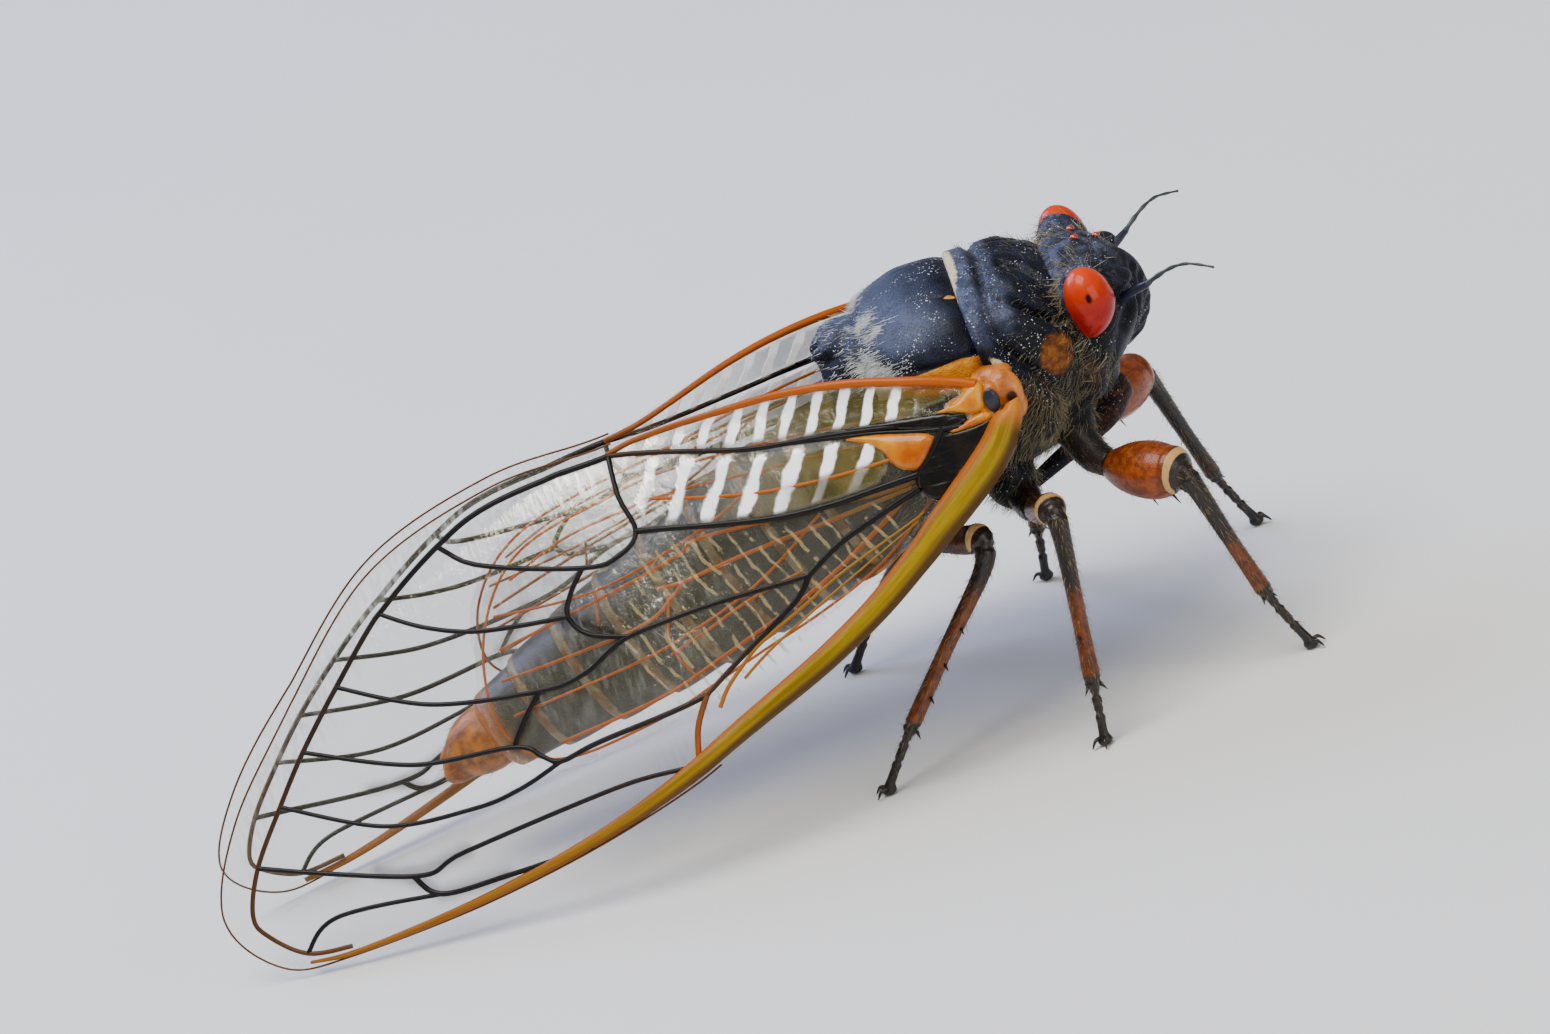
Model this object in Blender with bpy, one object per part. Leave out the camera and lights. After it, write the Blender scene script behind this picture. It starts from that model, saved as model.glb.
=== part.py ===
"""A periodical cicada at rest, life size, standing on its six feet.

Lengths are in millimetres and become metres as each mesh is made. The body is drawn round the
hinge of the wings: x runs forward to the head, y to the insect's left and z up. At the end the
whole insect is set down with the bottom centre of its box at the origin.
"""
import math

import bmesh
import bpy
import numpy as np
from mathutils import Matrix, Vector
from mathutils.geometry import delaunay_2d_cdt

MM = 0.001
GAP = 0.3                    # air between two neighbouring pieces
FLOOR = -13.0                # the ground under the hinge of the wings

# head
EYE_CENTRE = (4.15, 3.75, 1.60)
EYE_RADII = (0.90, 1.0, 1.33)
EYE_LEAN = math.radians(3.0)
HEAD_RINGS = (               # x, half width, centre height, rise, drop
    (3.25, 3.45, 0.30, 2.45, 2.95),
    (3.90, 3.75, 0.30, 2.65, 3.20),
    (4.70, 3.60, 0.35, 2.50, 2.90),
    (5.40, 3.00, 0.40, 2.10, 2.30),
    (5.92, 2.20, 0.45, 1.45, 1.60),
    (6.27, 1.30, 0.40, 0.85, 0.95),
    (6.45, 0.45, 0.40, 0.28, 0.32),
)

# thorax
PRONOTUM_RINGS = (
    (2.95, 3.55, 0.75, 2.00, 3.70),
    (2.45, 4.00, 0.80, 2.35, 4.05),
    (1.50, 4.25, 0.85, 2.60, 4.20),
    (0.70, 4.35, 0.90, 2.55, 4.20),
    (0.50, 4.62, 0.90, 2.72, 4.15),
    (0.15, 4.62, 0.90, 2.66, 4.05),
)
MESONOTUM_RINGS = (
    (-0.15, 4.05, 0.85, 2.55, 0.25),
    (-0.90, 4.30, 0.85, 2.80, 0.25),
    (-2.00, 4.25, 0.85, 2.85, 0.25),
    (-3.20, 3.90, 0.85, 2.60, 0.25),
    (-4.20, 3.20, 0.85, 2.15, 0.25),
    (-5.00, 2.30, 0.85, 1.75, 0.25),
    (-5.60, 1.60, 0.85, 1.45, 0.25),
)
UNDERSIDE_RINGS = (
    (-0.15, 4.00, -1.20, 1.45, 3.50),
    (-1.20, 4.30, -1.20, 1.45, 3.85),
    (-3.00, 4.00, -1.20, 1.45, 3.90),
    (-4.60, 3.55, -1.30, 1.55, 3.70),
    (-5.60, 3.15, -1.40, 1.60, 3.50),
)
SCUTELLUM_CENTRE = (-5.05, 0.0, 2.72)
SCUTELLUM_ARM = (1.5, 0.38, 0.34)
SCUTELLUM_TURN = 0.75        # of each arm of its cross, in radians

# abdomen
ABDOMEN_FRONT = -5.95
ABDOMEN_LENGTH = 16.2
ABDOMEN_HALF_WIDTH = 3.42
ABDOMEN_HEIGHT_RATIO = 0.95
BELLY_RATIO = 0.95           # its drop below the axis, beside its rise above
ABDOMEN_WIDEST = 0.12        # share of its length, from the front
ABDOMEN_TAPER = 1.15         # share of its length from there to a point
ABDOMEN_AXIS_START = -3.05
ABDOMEN_FALL = 0.30          # how far its axis sinks in each millimetre
SEGMENTS = 8
RIM = 0.13                   # how far the rear rim of a segment stands out
RIM_SHARES = (0.84, 0.93)    # where the rim begins and ends in its segment
TIP_LENGTH = 2.0
TIP_SIZES = (1.45, 1.38, 1.3)      # half width, rise and drop where it begins
TIP_FALL = 0.25
TIP_ROUNDING = 1.35          # in radians, from its front to its end
TIP_STEPS = (0, 0.3, 0.6, 0.85, 1)

# wings, as seen from the side: x and height of points on their edges and veins
MEMBRANE = 0.5
WING_SPACING = 1.2           # hind wing inside the fore wing, across the body
EDGE_STEP = 1.15
LINE_MERGE = 0.24            # points nearer than this become one
FLANK_MERGE = 0.2
FLANK_MARGIN = 0.12          # from the wing's edge
FLANK_HEIGHT = 0.06          # of any vein under the foot of another
CELL_PITCH = (2.2, 2.0)
CELL_MARGIN = 0.6
CELL_CLEARANCE = 0.75
BULGE_POWER = 0.75           # how a wing rounds outwards below its ridge
BULGE_START = 0.3
FORE_EDGE = (
    (-1.15, -2.25), (-3.7, -4.1), (-7.0, -6.1), (-10.5, -7.6), (-17.6, -10.1), (-23.9, -11.7),
    (-29.6, -12.55),
    (-32.3, -12.4), (-33.8, -10.3), (-32.2, -7.2), (-28.9, -3.9), (-24.3, 0.0), (-19.0, 1.55),
    (-14.4, 1.55), (-10.0, 2.0), (-5.5, 1.95), (-2.8, 1.4), (-1.3, 0.6),
)
HIND_EDGE = (
    (-2.2, -1.9), (-6.0, -4.6), (-11.0, -6.4), (-16.5, -7.9), (-20.3, -8.3), (-21.9, -6.6),
    (-21.3, -3.4), (-19.0, -0.9), (-14.8, 0.1), (-10.0, 0.5), (-6.0, 0.5), (-2.6, 0.0),
)
FORE_VEINS = (               # half width, height, points
    (0.55, 0.42, ((-1.7, -2.05), (-3.6, -3.4), (-5.3, -4.5), (-7.9, -5.95), (-10.4, -7.1),
                  (-14.9, -8.75), (-17.5, -9.6))),
    (0.36, 0.30, ((-17.5, -9.6), (-21.7, -10.65), (-26.0, -11.65), (-29.2, -12.1), (-31.2, -12.1))),
    (0.26, 0.22, ((-31.2, -12.1), (-32.7, -10.4), (-31.9, -8.8), (-30.3, -6.9), (-28.8, -5.3),
                  (-26.8, -3.5), (-24.4, -1.6), (-21.5, 0.1), (-19.0, 0.95), (-14.4, 1.2))),
    (0.34, 0.30, ((-1.9, 0.5), (-5.5, 1.5), (-10.0, 1.55), (-14.4, 1.2))),
    (0.26, 0.25, ((-1.9, -0.4), (-4.7, 0.05), (-9.7, 0.45), (-14.4, 1.2))),
    (0.30, 0.28, ((-2.0, -1.2), (-3.8, -1.75), (-8.3, -1.95), (-11.9, -1.6), (-14.3, -1.15))),
    (0.26, 0.22, ((-14.4, 1.2), (-14.5, 0.0), (-14.3, -1.15), (-15.2, -1.7), (-16.6, -1.75),
                  (-20.4, -0.8), (-21.5, 0.1))),
    (0.26, 0.22, ((-16.6, -1.75), (-17.7, -3.1), (-15.8, -4.2))),
    (0.26, 0.22, ((-17.7, -3.1), (-21.4, -2.8), (-24.4, -1.6))),
    (0.30, 0.28, ((-2.0, -1.2), (-4.0, -2.4), (-8.8, -3.85))),
    (0.26, 0.24, ((-8.8, -3.85), (-12.5, -4.0), (-15.8, -4.2), (-17.8, -5.0), (-19.6, -5.2),
                  (-23.6, -4.8), (-26.8, -3.5))),
    (0.26, 0.24, ((-8.8, -3.85), (-11.2, -5.4), (-13.8, -6.7))),
    (0.26, 0.24, ((-13.8, -6.7), (-14.9, -8.75), (-18.0, -8.85), (-24.2, -9.85), (-26.4, -10.3),
                  (-31.9, -8.8))),
    (0.26, 0.24, ((-13.8, -6.7), (-18.0, -7.25), (-19.7, -7.6), (-21.2, -6.8), (-25.0, -6.6),
                  (-28.8, -5.3))),
    (0.26, 0.22, ((-19.6, -5.2), (-20.5, -6.0), (-21.2, -6.8))),
    (0.26, 0.22, ((-19.7, -7.6), (-23.4, -8.5), (-26.8, -8.4), (-30.3, -6.9))),
    (0.26, 0.22, ((-26.4, -10.3), (-25.6, -11.1), (-23.0, -10.95))),
    (0.26, 0.22, ((-25.6, -11.1), (-29.7, -11.1), (-31.2, -12.1))),
)
HIND_VEINS = (
    (0.26, 0.10, ((-2.7, -1.6), (-8.0, -4.6), (-14.0, -6.6), (-19.5, -7.6))),
    (0.26, 0.10, ((-2.9, -1.0), (-7.7, -2.4), (-14.0, -3.7), (-20.6, -4.4))),
    (0.26, 0.10, ((-2.9, -0.7), (-9.0, -0.6), (-16.0, -0.9))),
)
RIDGE_LINES = ((-36, -9.5), (-33, -7.5), (-30, -4.5), (-23.6, -1.3), (-15.5, 1.3), (-14.2, 1.4),
               (-9, 1.35), (-5, 1.2), (-3, 1.1), (0, 0.7))
RIDGE_WIDTHS = ((-36, 1.6), (-33, 1.4), (-30, 1.0), (-23.6, 0.65), (-14.2, 0.55), (-9, 2.45),
                (-5, 4.0), (-3, 4.75), (0, 5.3))
SPREADS = ((-36, 0.6), (-30, 0.74), (-23.6, 1.0), (-17.6, 1.21), (-14, 1.33), (-10.5, 1.19),
           (-4, 0.85), (0, 0.6))
KNOB_CENTRE = (0.1, 5.25, -0.35)
KNOB_RADII = (0.85, 0.5, 1.05)

# limbs: points from root to tip, each with its radius
ANTENNA = ((5.88, 2.78, 1.05, 0.28), (6.35, 3.1, 1.2, 0.25), (7.3, 3.65, 1.7, 0.25),
           (8.15, 4.2, 1.7, 0.2), (8.7, 4.6, 1.45, 0.1))
ROSTRUM = ((4.0, 0.0, -3.6, 0.6), (2.9, 0.0, -4.45, 0.45), (1.0, 0.0, -5.3, 0.36),
           (-0.8, 0.0, -6.1, 0.25))
THIGHS = {
    "front": ((1.9, 2.0, -3.75, 0.70), (2.4, 2.6, -4.7, 0.62), (3.3, 3.6, -5.0, 0.85),
              (4.2, 4.6, -5.05, 0.98), (4.95, 5.35, -5.05, 0.75), (5.3, 5.7, -5.1, 0.48)),
    "middle": ((-0.6, 2.8, -5.0, 0.70), (-0.4, 3.8, -5.15, 0.60), (0.0, 5.4, -4.8, 0.58),
               (0.3, 6.55, -4.4, 0.50)),
    "hind": ((-4.4, 2.9, -4.95, 0.70), (-3.9, 3.7, -5.2, 0.60), (-3.1, 4.8, -5.1, 0.58),
             (-2.45, 5.6, -4.95, 0.48)),
}
SHINS = {
    "front": ((5.5, 5.9, -5.88, 0.42), (6.6, 6.35, -10.4, 0.36), (6.75, 6.4, -10.8, 0.28),
              (7.5, 6.6, -12.4, 0.27), (7.6, 6.62, FLOOR, 0.30)),
    "middle": ((0.33, 6.98, -5.22, 0.42), (-0.45, 8.2, -10.7, 0.36), (-0.5, 8.3, -11.1, 0.28),
               (-0.75, 8.6, -12.5, 0.27), (-0.75, 8.62, FLOOR, 0.30)),
    "hind": ((-2.8, 5.9, -5.9, 0.40), (-7.3, 6.2, -10.8, 0.34), (-7.6, 6.2, -11.1, 0.28),
             (-8.8, 6.2, -12.5, 0.27), (-8.85, 6.2, FLOOR, 0.30)),
}
THIGH_SPINES = ((0.35, 0.55), (0.7, 0.8))   # along the front thigh, and length in millimetres
SPINE_SINK = 0.4             # of a spine's root, below the thigh's middle line
SPINE_LEAN = (0.35, 0.1, -0.35)
SPINE_RADIUS = 0.28
SPINE_POINT = 0.06

COLOURS = {
    "black": ((0.012, 0.013, 0.018), 0.35),
    "eye": ((0.75, 0.05, 0.015), 0.15),
    "orange": ((0.75, 0.24, 0.03), 0.35),
    "wing": ((0.62, 0.50, 0.24), 0.25),
    "leg": ((0.20, 0.06, 0.02), 0.4),
}


def clear_scene():
    for item in list(bpy.data.objects):
        bpy.data.objects.remove(item, do_unlink=True)


def make_collection(name):
    group = bpy.data.collections.new(name)
    bpy.context.scene.collection.children.link(group)
    return group


def give_material(item, look):
    """A material of its own, in the colour of its kind."""
    colour, roughness = COLOURS[look]
    material = bpy.data.materials.new(item.name)
    material.use_nodes = True
    shader = material.node_tree.nodes["Principled BSDF"]
    shader.inputs["Base Color"].default_value = (*colour, 1.0)
    shader.inputs["Roughness"].default_value = roughness
    shader.inputs["Metallic"].default_value = 0.0
    item.data.materials.clear()
    item.data.materials.append(material)


def make_piece(name, bm, group, look="black"):
    """A finished object from a bmesh drawn in millimetres."""
    bmesh.ops.recalc_face_normals(bm, faces=bm.faces[:])
    bmesh.ops.scale(bm, vec=(MM, MM, MM), verts=bm.verts[:])
    mesh = bpy.data.meshes.new(name)
    bm.to_mesh(mesh)
    bm.free()
    mesh.shade_smooth()
    item = bpy.data.objects.new(name, mesh)
    group.objects.link(item)
    give_material(item, look)
    return item


def mirrored(point):
    return (point[0], -point[1], *point[2:])


def loft(rings):
    """Close a skin over rings of equally many points."""
    bm = bmesh.new()
    rows = [[bm.verts.new(point) for point in ring] for ring in rings]
    for low, high in zip(rows, rows[1:]):
        count = len(low)
        for k in range(count):
            n = (k + 1) % count
            bm.faces.new((low[k], low[n], high[n], high[k]))
    for row in (rows[0], rows[-1]):
        centre = bm.verts.new(sum((v.co for v in row), Vector()) / len(row))
        for k in range(len(row)):
            bm.faces.new((row[k], row[(k + 1) % len(row)], centre))
    return bm


def oval(x, half_width, centre, rise, drop, sides, top=1.0, bottom=1.0):
    """One upright ring of a body; powers under 1 make its upper or lower half squarer."""
    ring = []
    for k in range(sides):
        angle = 2 * math.pi * k / sides
        across, up = math.cos(angle), math.sin(angle)
        power = top if up > 0 else bottom
        y = half_width * math.copysign(abs(across) ** power, across)
        z = centre + (rise if up > 0 else drop) * math.copysign(abs(up) ** power, up)
        ring.append((x, y, z))
    return ring


def body_loft(rings, sides, top=1.0, bottom=1.0):
    return loft([oval(*ring, sides, top, bottom) for ring in rings])


def ellipsoid(centre, radii, lean=0.0, segments=18, rows=12):
    bm = bmesh.new()
    bmesh.ops.create_uvsphere(bm, u_segments=segments, v_segments=rows, radius=1.0)
    place = Matrix.Translation(centre) @ Matrix.Rotation(lean, 4, "Y") @ Matrix.Diagonal((*radii, 1.0))
    bm.transform(place)
    return bm


def limb(stations, sides):
    """A jointed tube through points with radii; its last ring lies level when it ends on the floor."""
    points = [Vector(s[:3]) for s in stations]
    rings = []
    side = Vector((1, 0, 0))
    for k, (point, station) in enumerate(zip(points, stations)):
        ahead = points[min(k + 1, len(points) - 1)] - point
        behind = point - points[max(k - 1, 0)]
        along = (ahead.normalized() + behind.normalized()).normalized()
        if abs(point.z - FLOOR) < 1e-6:
            along = Vector((0, 0, -1))
        side = (side - along * side.dot(along)).normalized()
        other = along.cross(side)
        turn = [2 * math.pi * j / sides for j in range(sides)]
        rings.append([point + station[3] * (math.cos(a) * side + math.sin(a) * other) for a in turn])
    return loft(rings)


def cone(foot, tip, radius, sides=6):
    """A spine from inside its root to a blunt point."""
    return limb(((*foot, radius), (*tip, SPINE_POINT)), sides)


def cut_with(item, cutter_bm, operation="DIFFERENCE", solver="EXACT"):
    """Apply one Boolean and take its tool away."""
    tool = make_piece("tool", cutter_bm, bpy.context.scene.collection)
    modifier = item.modifiers.new("boolean", "BOOLEAN")
    modifier.operation = operation
    modifier.solver = solver
    modifier.object = tool
    graph = bpy.context.evaluated_depsgraph_get()
    mesh = bpy.data.meshes.new_from_object(item.evaluated_get(graph))
    item.modifiers.remove(modifier)
    item.data = mesh
    bpy.data.objects.remove(tool, do_unlink=True)


def smooth_line(points, step, closed=False):
    """Points every step along a smooth curve through the given ones."""
    count = len(points)
    spans = count if closed else count - 1
    result = []
    for k in range(spans):
        p = [np.array(points[(k + j) % count if closed else min(max(k + j, 0), count - 1)], float)
             for j in (-1, 0, 1, 2)]
        pieces = max(1, round(float(np.linalg.norm(p[2] - p[1])) / step))
        for j in range(pieces):
            t = j / pieces
            result.append(0.5 * (2 * p[1] + (p[2] - p[0]) * t
                                 + (2 * p[0] - 5 * p[1] + 4 * p[2] - p[3]) * t * t
                                 + (3 * p[1] - p[0] - 3 * p[2] + p[3]) * t ** 3))
    if not closed:
        result.append(np.array(points[-1], float))
    return result


def along_table(table, x):
    """A smooth curve through the rows of a table, which never swings past them."""
    places, values = (np.array(column, float) for column in zip(*table))
    chords = np.diff(values) / np.diff(places)
    product = np.maximum(chords[1:] * chords[:-1], 0.0)
    inner = np.where(product > 0, 2 * product / (np.abs(chords[1:] + chords[:-1]) + 1e-12), 0.0)
    slopes = np.concatenate((chords[:1], inner * np.sign(chords[1:]), chords[-1:]))
    k = int(np.clip(np.searchsorted(places, x) - 1, 0, len(places) - 2))
    span = places[k + 1] - places[k]
    t = float(np.clip((x - places[k]) / span, 0, 1))
    blend = (2 * t ** 3 - 3 * t ** 2 + 1, t ** 3 - 2 * t ** 2 + t, 3 * t ** 2 - 2 * t ** 3, t ** 3 - t ** 2)
    return float(blend[0] * values[k] + blend[1] * span * slopes[k]
                 + blend[2] * values[k + 1] + blend[3] * span * slopes[k + 1])


def wing_distance(x, z):
    """How far the fore wing's middle surface stands from the body's middle plane."""
    drop = max(along_table(RIDGE_LINES, x) - z, 0.0)
    bulge = (drop + BULGE_START) ** BULGE_POWER - BULGE_START ** BULGE_POWER
    return along_table(RIDGE_WIDTHS, x) + along_table(SPREADS, x) * bulge


def wing_point(x, z, inward, lift):
    """A point of the wing, lifted off its middle surface along the surface's normal."""
    probe = 0.05
    slope_x = (wing_distance(x + probe, z) - wing_distance(x - probe, z)) / (2 * probe)
    slope_z = (wing_distance(x, z + probe) - wing_distance(x, z - probe)) / (2 * probe)
    normal = Vector((-slope_x, 1.0, -slope_z)).normalized()
    return Vector((x, wing_distance(x, z) - inward, z)) + lift * normal


def distance_to_line(point, line):
    """Shortest distance from a point to a polyline in the side view."""
    best = 1e9
    for a, b in zip(line, line[1:]):
        ab = b - a
        t = float(np.clip(np.dot(point - a, ab) / max(np.dot(ab, ab), 1e-12), 0, 1))
        best = min(best, float(np.linalg.norm(point - a - t * ab)))
    return best


class WingPlan:
    """The flat plan of a wing, whose veins are lines that its triangles follow."""

    def __init__(self, edge, veins):
        self.points = []
        self.edges = set()
        self.edge = smooth_line(edge, EDGE_STEP, closed=True)
        self.veins = [(width, height, smooth_line(points, EDGE_STEP)) for width, height, points in veins]
        self.add_line(self.edge, closed=True)
        for _, _, line in self.veins:
            self.add_line(line)
        for width, _, line in self.veins:
            self.add_flanks(line, width)
        self.fill_cells()

    def nearest(self, point):
        if not self.points:
            return None, 1e9
        gaps = np.linalg.norm(np.array(self.points) - point, axis=1)
        return int(np.argmin(gaps)), float(gaps.min())

    def add_point(self, point, merge):
        index, gap = self.nearest(point)
        if gap < merge:
            return index
        self.points.append(np.array(point, float))
        return len(self.points) - 1

    def add_line(self, line, closed=False):
        marks = [self.add_point(point, LINE_MERGE) for point in line]
        pairs = list(zip(marks, marks[1:])) + ([(marks[-1], marks[0])] if closed else [])
        self.edges |= {tuple(sorted(pair)) for pair in pairs if pair[0] != pair[1]}

    def inside(self, point, margin):
        """True well within the wing's edge."""
        loop = np.array(self.edge)
        nxt = np.roll(loop, -1, axis=0)
        crosses = (loop[:, 1] > point[1]) != (nxt[:, 1] > point[1])
        rise = np.where(crosses, nxt[:, 1] - loop[:, 1], 1.0)
        meets = loop[:, 0] + (point[1] - loop[:, 1]) / rise * (nxt[:, 0] - loop[:, 0])
        within = int(np.sum(crosses & (point[0] < meets))) % 2 == 1
        return within and distance_to_line(point, self.edge + [self.edge[0]]) > margin

    def add_flanks(self, line, width):
        """Points beside a vein, where its ridge comes down to the membrane."""
        for k, point in enumerate(line):
            along = line[min(k + 1, len(line) - 1)] - line[max(k - 1, 0)]
            across = np.array((-along[1], along[0])) / max(float(np.linalg.norm(along)), 1e-9)
            for sign in (-1, 1):
                spot = point + sign * width * across
                if self.inside(spot, FLANK_MARGIN) and self.vein_height(spot) < FLANK_HEIGHT:
                    self.add_point(spot, FLANK_MERGE)

    def fill_cells(self):
        """A few points in the open cells, so that the curved membrane has faces to bend on."""
        loop = np.array(self.edge)
        low, high = loop.min(axis=0), loop.max(axis=0)
        for x in np.arange(low[0], high[0], CELL_PITCH[0]):
            for z in np.arange(low[1], high[1], CELL_PITCH[1]):
                spot = np.array((x, z))
                if self.inside(spot, CELL_MARGIN) and self.nearest(spot)[1] > CELL_CLEARANCE:
                    self.points.append(spot)

    def vein_height(self, point):
        return max(height * max(0.0, 1 - distance_to_line(point, line) / width)
                   for width, height, line in self.veins)

    def solid(self, inward):
        """Two like faces and a rim between them, with the veins raised on the outer face."""
        flat = [Vector((float(p[0]), float(p[1]))) for p in self.points]
        result = delaunay_2d_cdt(flat, sorted(self.edges), [], 1, 1e-5)
        places, triangles = result[0], result[2]
        bm = bmesh.new()
        outer, inner = [], []
        for place in places:
            ridge = self.vein_height(np.array(place))
            outer.append(bm.verts.new(wing_point(*place, inward, MEMBRANE / 2 + ridge)))
            inner.append(bm.verts.new(wing_point(*place, inward, -MEMBRANE / 2)))
        used = {}
        for triangle in triangles:
            bm.faces.new([outer[k] for k in triangle])
            bm.faces.new([inner[k] for k in reversed(triangle)])
            for a, b in zip(triangle, triangle[1:] + triangle[:1]):
                used[(a, b)] = True
        for a, b in used:
            if (b, a) not in used:
                bm.faces.new((outer[b], outer[a], inner[a]))
                bm.faces.new((outer[b], inner[a], inner[b]))
        loose = [v for v in bm.verts if not v.link_faces]
        bmesh.ops.delete(bm, geom=loose, context="VERTS")
        return bm


def mirror_mesh(bm):
    """The same piece for the insect's right side."""
    bm.transform(Matrix.Scale(-1, 4, (0, 1, 0)))
    bmesh.ops.reverse_faces(bm, faces=bm.faces[:])
    return bm


def make_head(group):
    head = make_piece("head", body_loft(HEAD_RINGS, 24), group)
    socket = [radius + GAP for radius in EYE_RADII]
    for place in (EYE_CENTRE, mirrored(EYE_CENTRE)):
        cut_with(head, ellipsoid(place, socket, EYE_LEAN))
    for side, place in (("left", EYE_CENTRE), ("right", mirrored(EYE_CENTRE))):
        make_piece("eye_" + side, ellipsoid(place, EYE_RADII, EYE_LEAN), group, "eye")
    for side, path in (("left", ANTENNA), ("right", [mirrored(s) for s in ANTENNA])):
        make_piece("antenna_" + side, limb(path, 8), group)
    make_piece("rostrum", limb(ROSTRUM, 10), group)


def make_thorax(group):
    make_piece("pronotum", body_loft(PRONOTUM_RINGS, 28), group)
    mesonotum = make_piece("mesonotum", body_loft(MESONOTUM_RINGS, 28, bottom=0.45), group)
    for turn in (-1, 1):
        arm = ellipsoid((0, 0, 0), SCUTELLUM_ARM, segments=10, rows=6)
        arm.transform(Matrix.Translation(SCUTELLUM_CENTRE)
                      @ Matrix.Rotation(turn * SCUTELLUM_TURN, 4, "Z"))
        cut_with(mesonotum, arm, "UNION")
    make_piece("thorax_underside", body_loft(UNDERSIDE_RINGS, 24, top=0.5), group)


def abdomen_ring(x, swell, sides=26):
    share = (ABDOMEN_FRONT - x) / ABDOMEN_LENGTH
    taper = 1 - ((share - ABDOMEN_WIDEST) / ABDOMEN_TAPER) ** 2
    half_width = ABDOMEN_HALF_WIDTH * taper + swell
    height = half_width * ABDOMEN_HEIGHT_RATIO
    centre = ABDOMEN_AXIS_START - ABDOMEN_FALL * (ABDOMEN_FRONT - x)
    return oval(x, half_width, centre, height, height * BELLY_RATIO, sides)


def make_abdomen(group):
    """Overlapping rings, each with a rim at its rear."""
    pitch = ABDOMEN_LENGTH / SEGMENTS
    rings = []
    for k in range(SEGMENTS):
        front = ABDOMEN_FRONT - k * pitch
        rings.append(abdomen_ring(front, 0.0))
        rings += [abdomen_ring(front - share * pitch, RIM) for share in RIM_SHARES]
    rings.append(abdomen_ring(ABDOMEN_FRONT - ABDOMEN_LENGTH, 0.0))
    make_piece("abdomen", loft(rings), group)
    start = ABDOMEN_FRONT - ABDOMEN_LENGTH - GAP
    base = ABDOMEN_AXIS_START - ABDOMEN_FALL * (ABDOMEN_LENGTH + GAP)
    tip = []
    for t in TIP_STEPS:
        half_width, rise, drop = (size * math.cos(TIP_ROUNDING * t) for size in TIP_SIZES)
        centre = base - TIP_FALL * TIP_LENGTH * t
        tip.append(oval(start - TIP_LENGTH * t, half_width, centre, rise, drop, 18))
    make_piece("abdomen_tip", loft(tip), group, "orange")


def make_wings(group):
    fore = WingPlan(FORE_EDGE, FORE_VEINS)
    hind = WingPlan(HIND_EDGE, HIND_VEINS)
    for name, plan, inward in (("forewing", fore, 0.0), ("hindwing", hind, WING_SPACING)):
        make_piece(name + "_left", plan.solid(inward), group, "wing")
        make_piece(name + "_right", mirror_mesh(plan.solid(inward)), group, "wing")
    for side, place in (("left", KNOB_CENTRE), ("right", mirrored(KNOB_CENTRE))):
        make_piece("wing_root_" + side, ellipsoid(place, KNOB_RADII, segments=14, rows=10), group, "orange")


def front_spines(thigh):
    """The short spines under the swollen front thigh."""
    root, knee = Vector(thigh[2][:3]), Vector(thigh[4][:3])
    for share, length in THIGH_SPINES:
        foot = root.lerp(knee, share) - Vector((0, 0, SPINE_SINK))
        yield foot, foot + Vector(SPINE_LEAN) - Vector((0, 0, length)), SPINE_RADIUS


def make_legs(group):
    for side, turn in (("left", 1), ("right", -1)):
        for pair in ("front", "middle", "hind"):
            thigh = [(s[0], turn * s[1], *s[2:]) for s in THIGHS[pair]]
            shin = [(s[0], turn * s[1], *s[2:]) for s in SHINS[pair]]
            look = "orange" if pair == "front" else "leg"
            femur = make_piece("femur_" + pair + "_" + side, limb(thigh, 12), group, look)
            if pair == "front":
                for foot, tip, radius in front_spines(thigh):
                    cut_with(femur, cone(foot, tip, radius), "UNION")
            make_piece("tibia_" + pair + "_" + side, limb(shin, 10), group, "leg")


def set_down(group):
    """Move every mesh so that the bottom centre of the whole box is the origin."""
    corners = np.array([v.co[:] for item in group.objects for v in item.data.vertices])
    low, high = corners.min(axis=0), corners.max(axis=0)
    shift = Vector((-(low[0] + high[0]) / 2, -(low[1] + high[1]) / 2, -low[2]))
    for item in group.objects:
        item.data.transform(Matrix.Translation(shift))
    print("size in mm", [round(float(v) * 1000, 2) for v in high - low],
          "moved by", [round(v * 1000, 3) for v in shift])


def main():
    clear_scene()
    group = make_collection("cicada")
    make_head(group)
    make_thorax(group)
    make_abdomen(group)
    make_wings(group)
    make_legs(group)
    set_down(group)
    for item in group.objects:
        faces = sum(len(face.vertices) - 2 for face in item.data.polygons)
        print(item.name, faces)


main()
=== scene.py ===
# %% [markdown]
# # A periodical cicada, life size
# The insect stands on its six feet with its clear wings folded like a roof over its back.
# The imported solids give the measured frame. Everything that is seen is made here, piece by
# piece, and each piece stands for the solids that it covers.

# %% Load the frame
import math

import bmesh
import bpy
import numpy as np
from mathutils import Matrix, Vector
from mathutils.geometry import delaunay_2d_cdt


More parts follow.
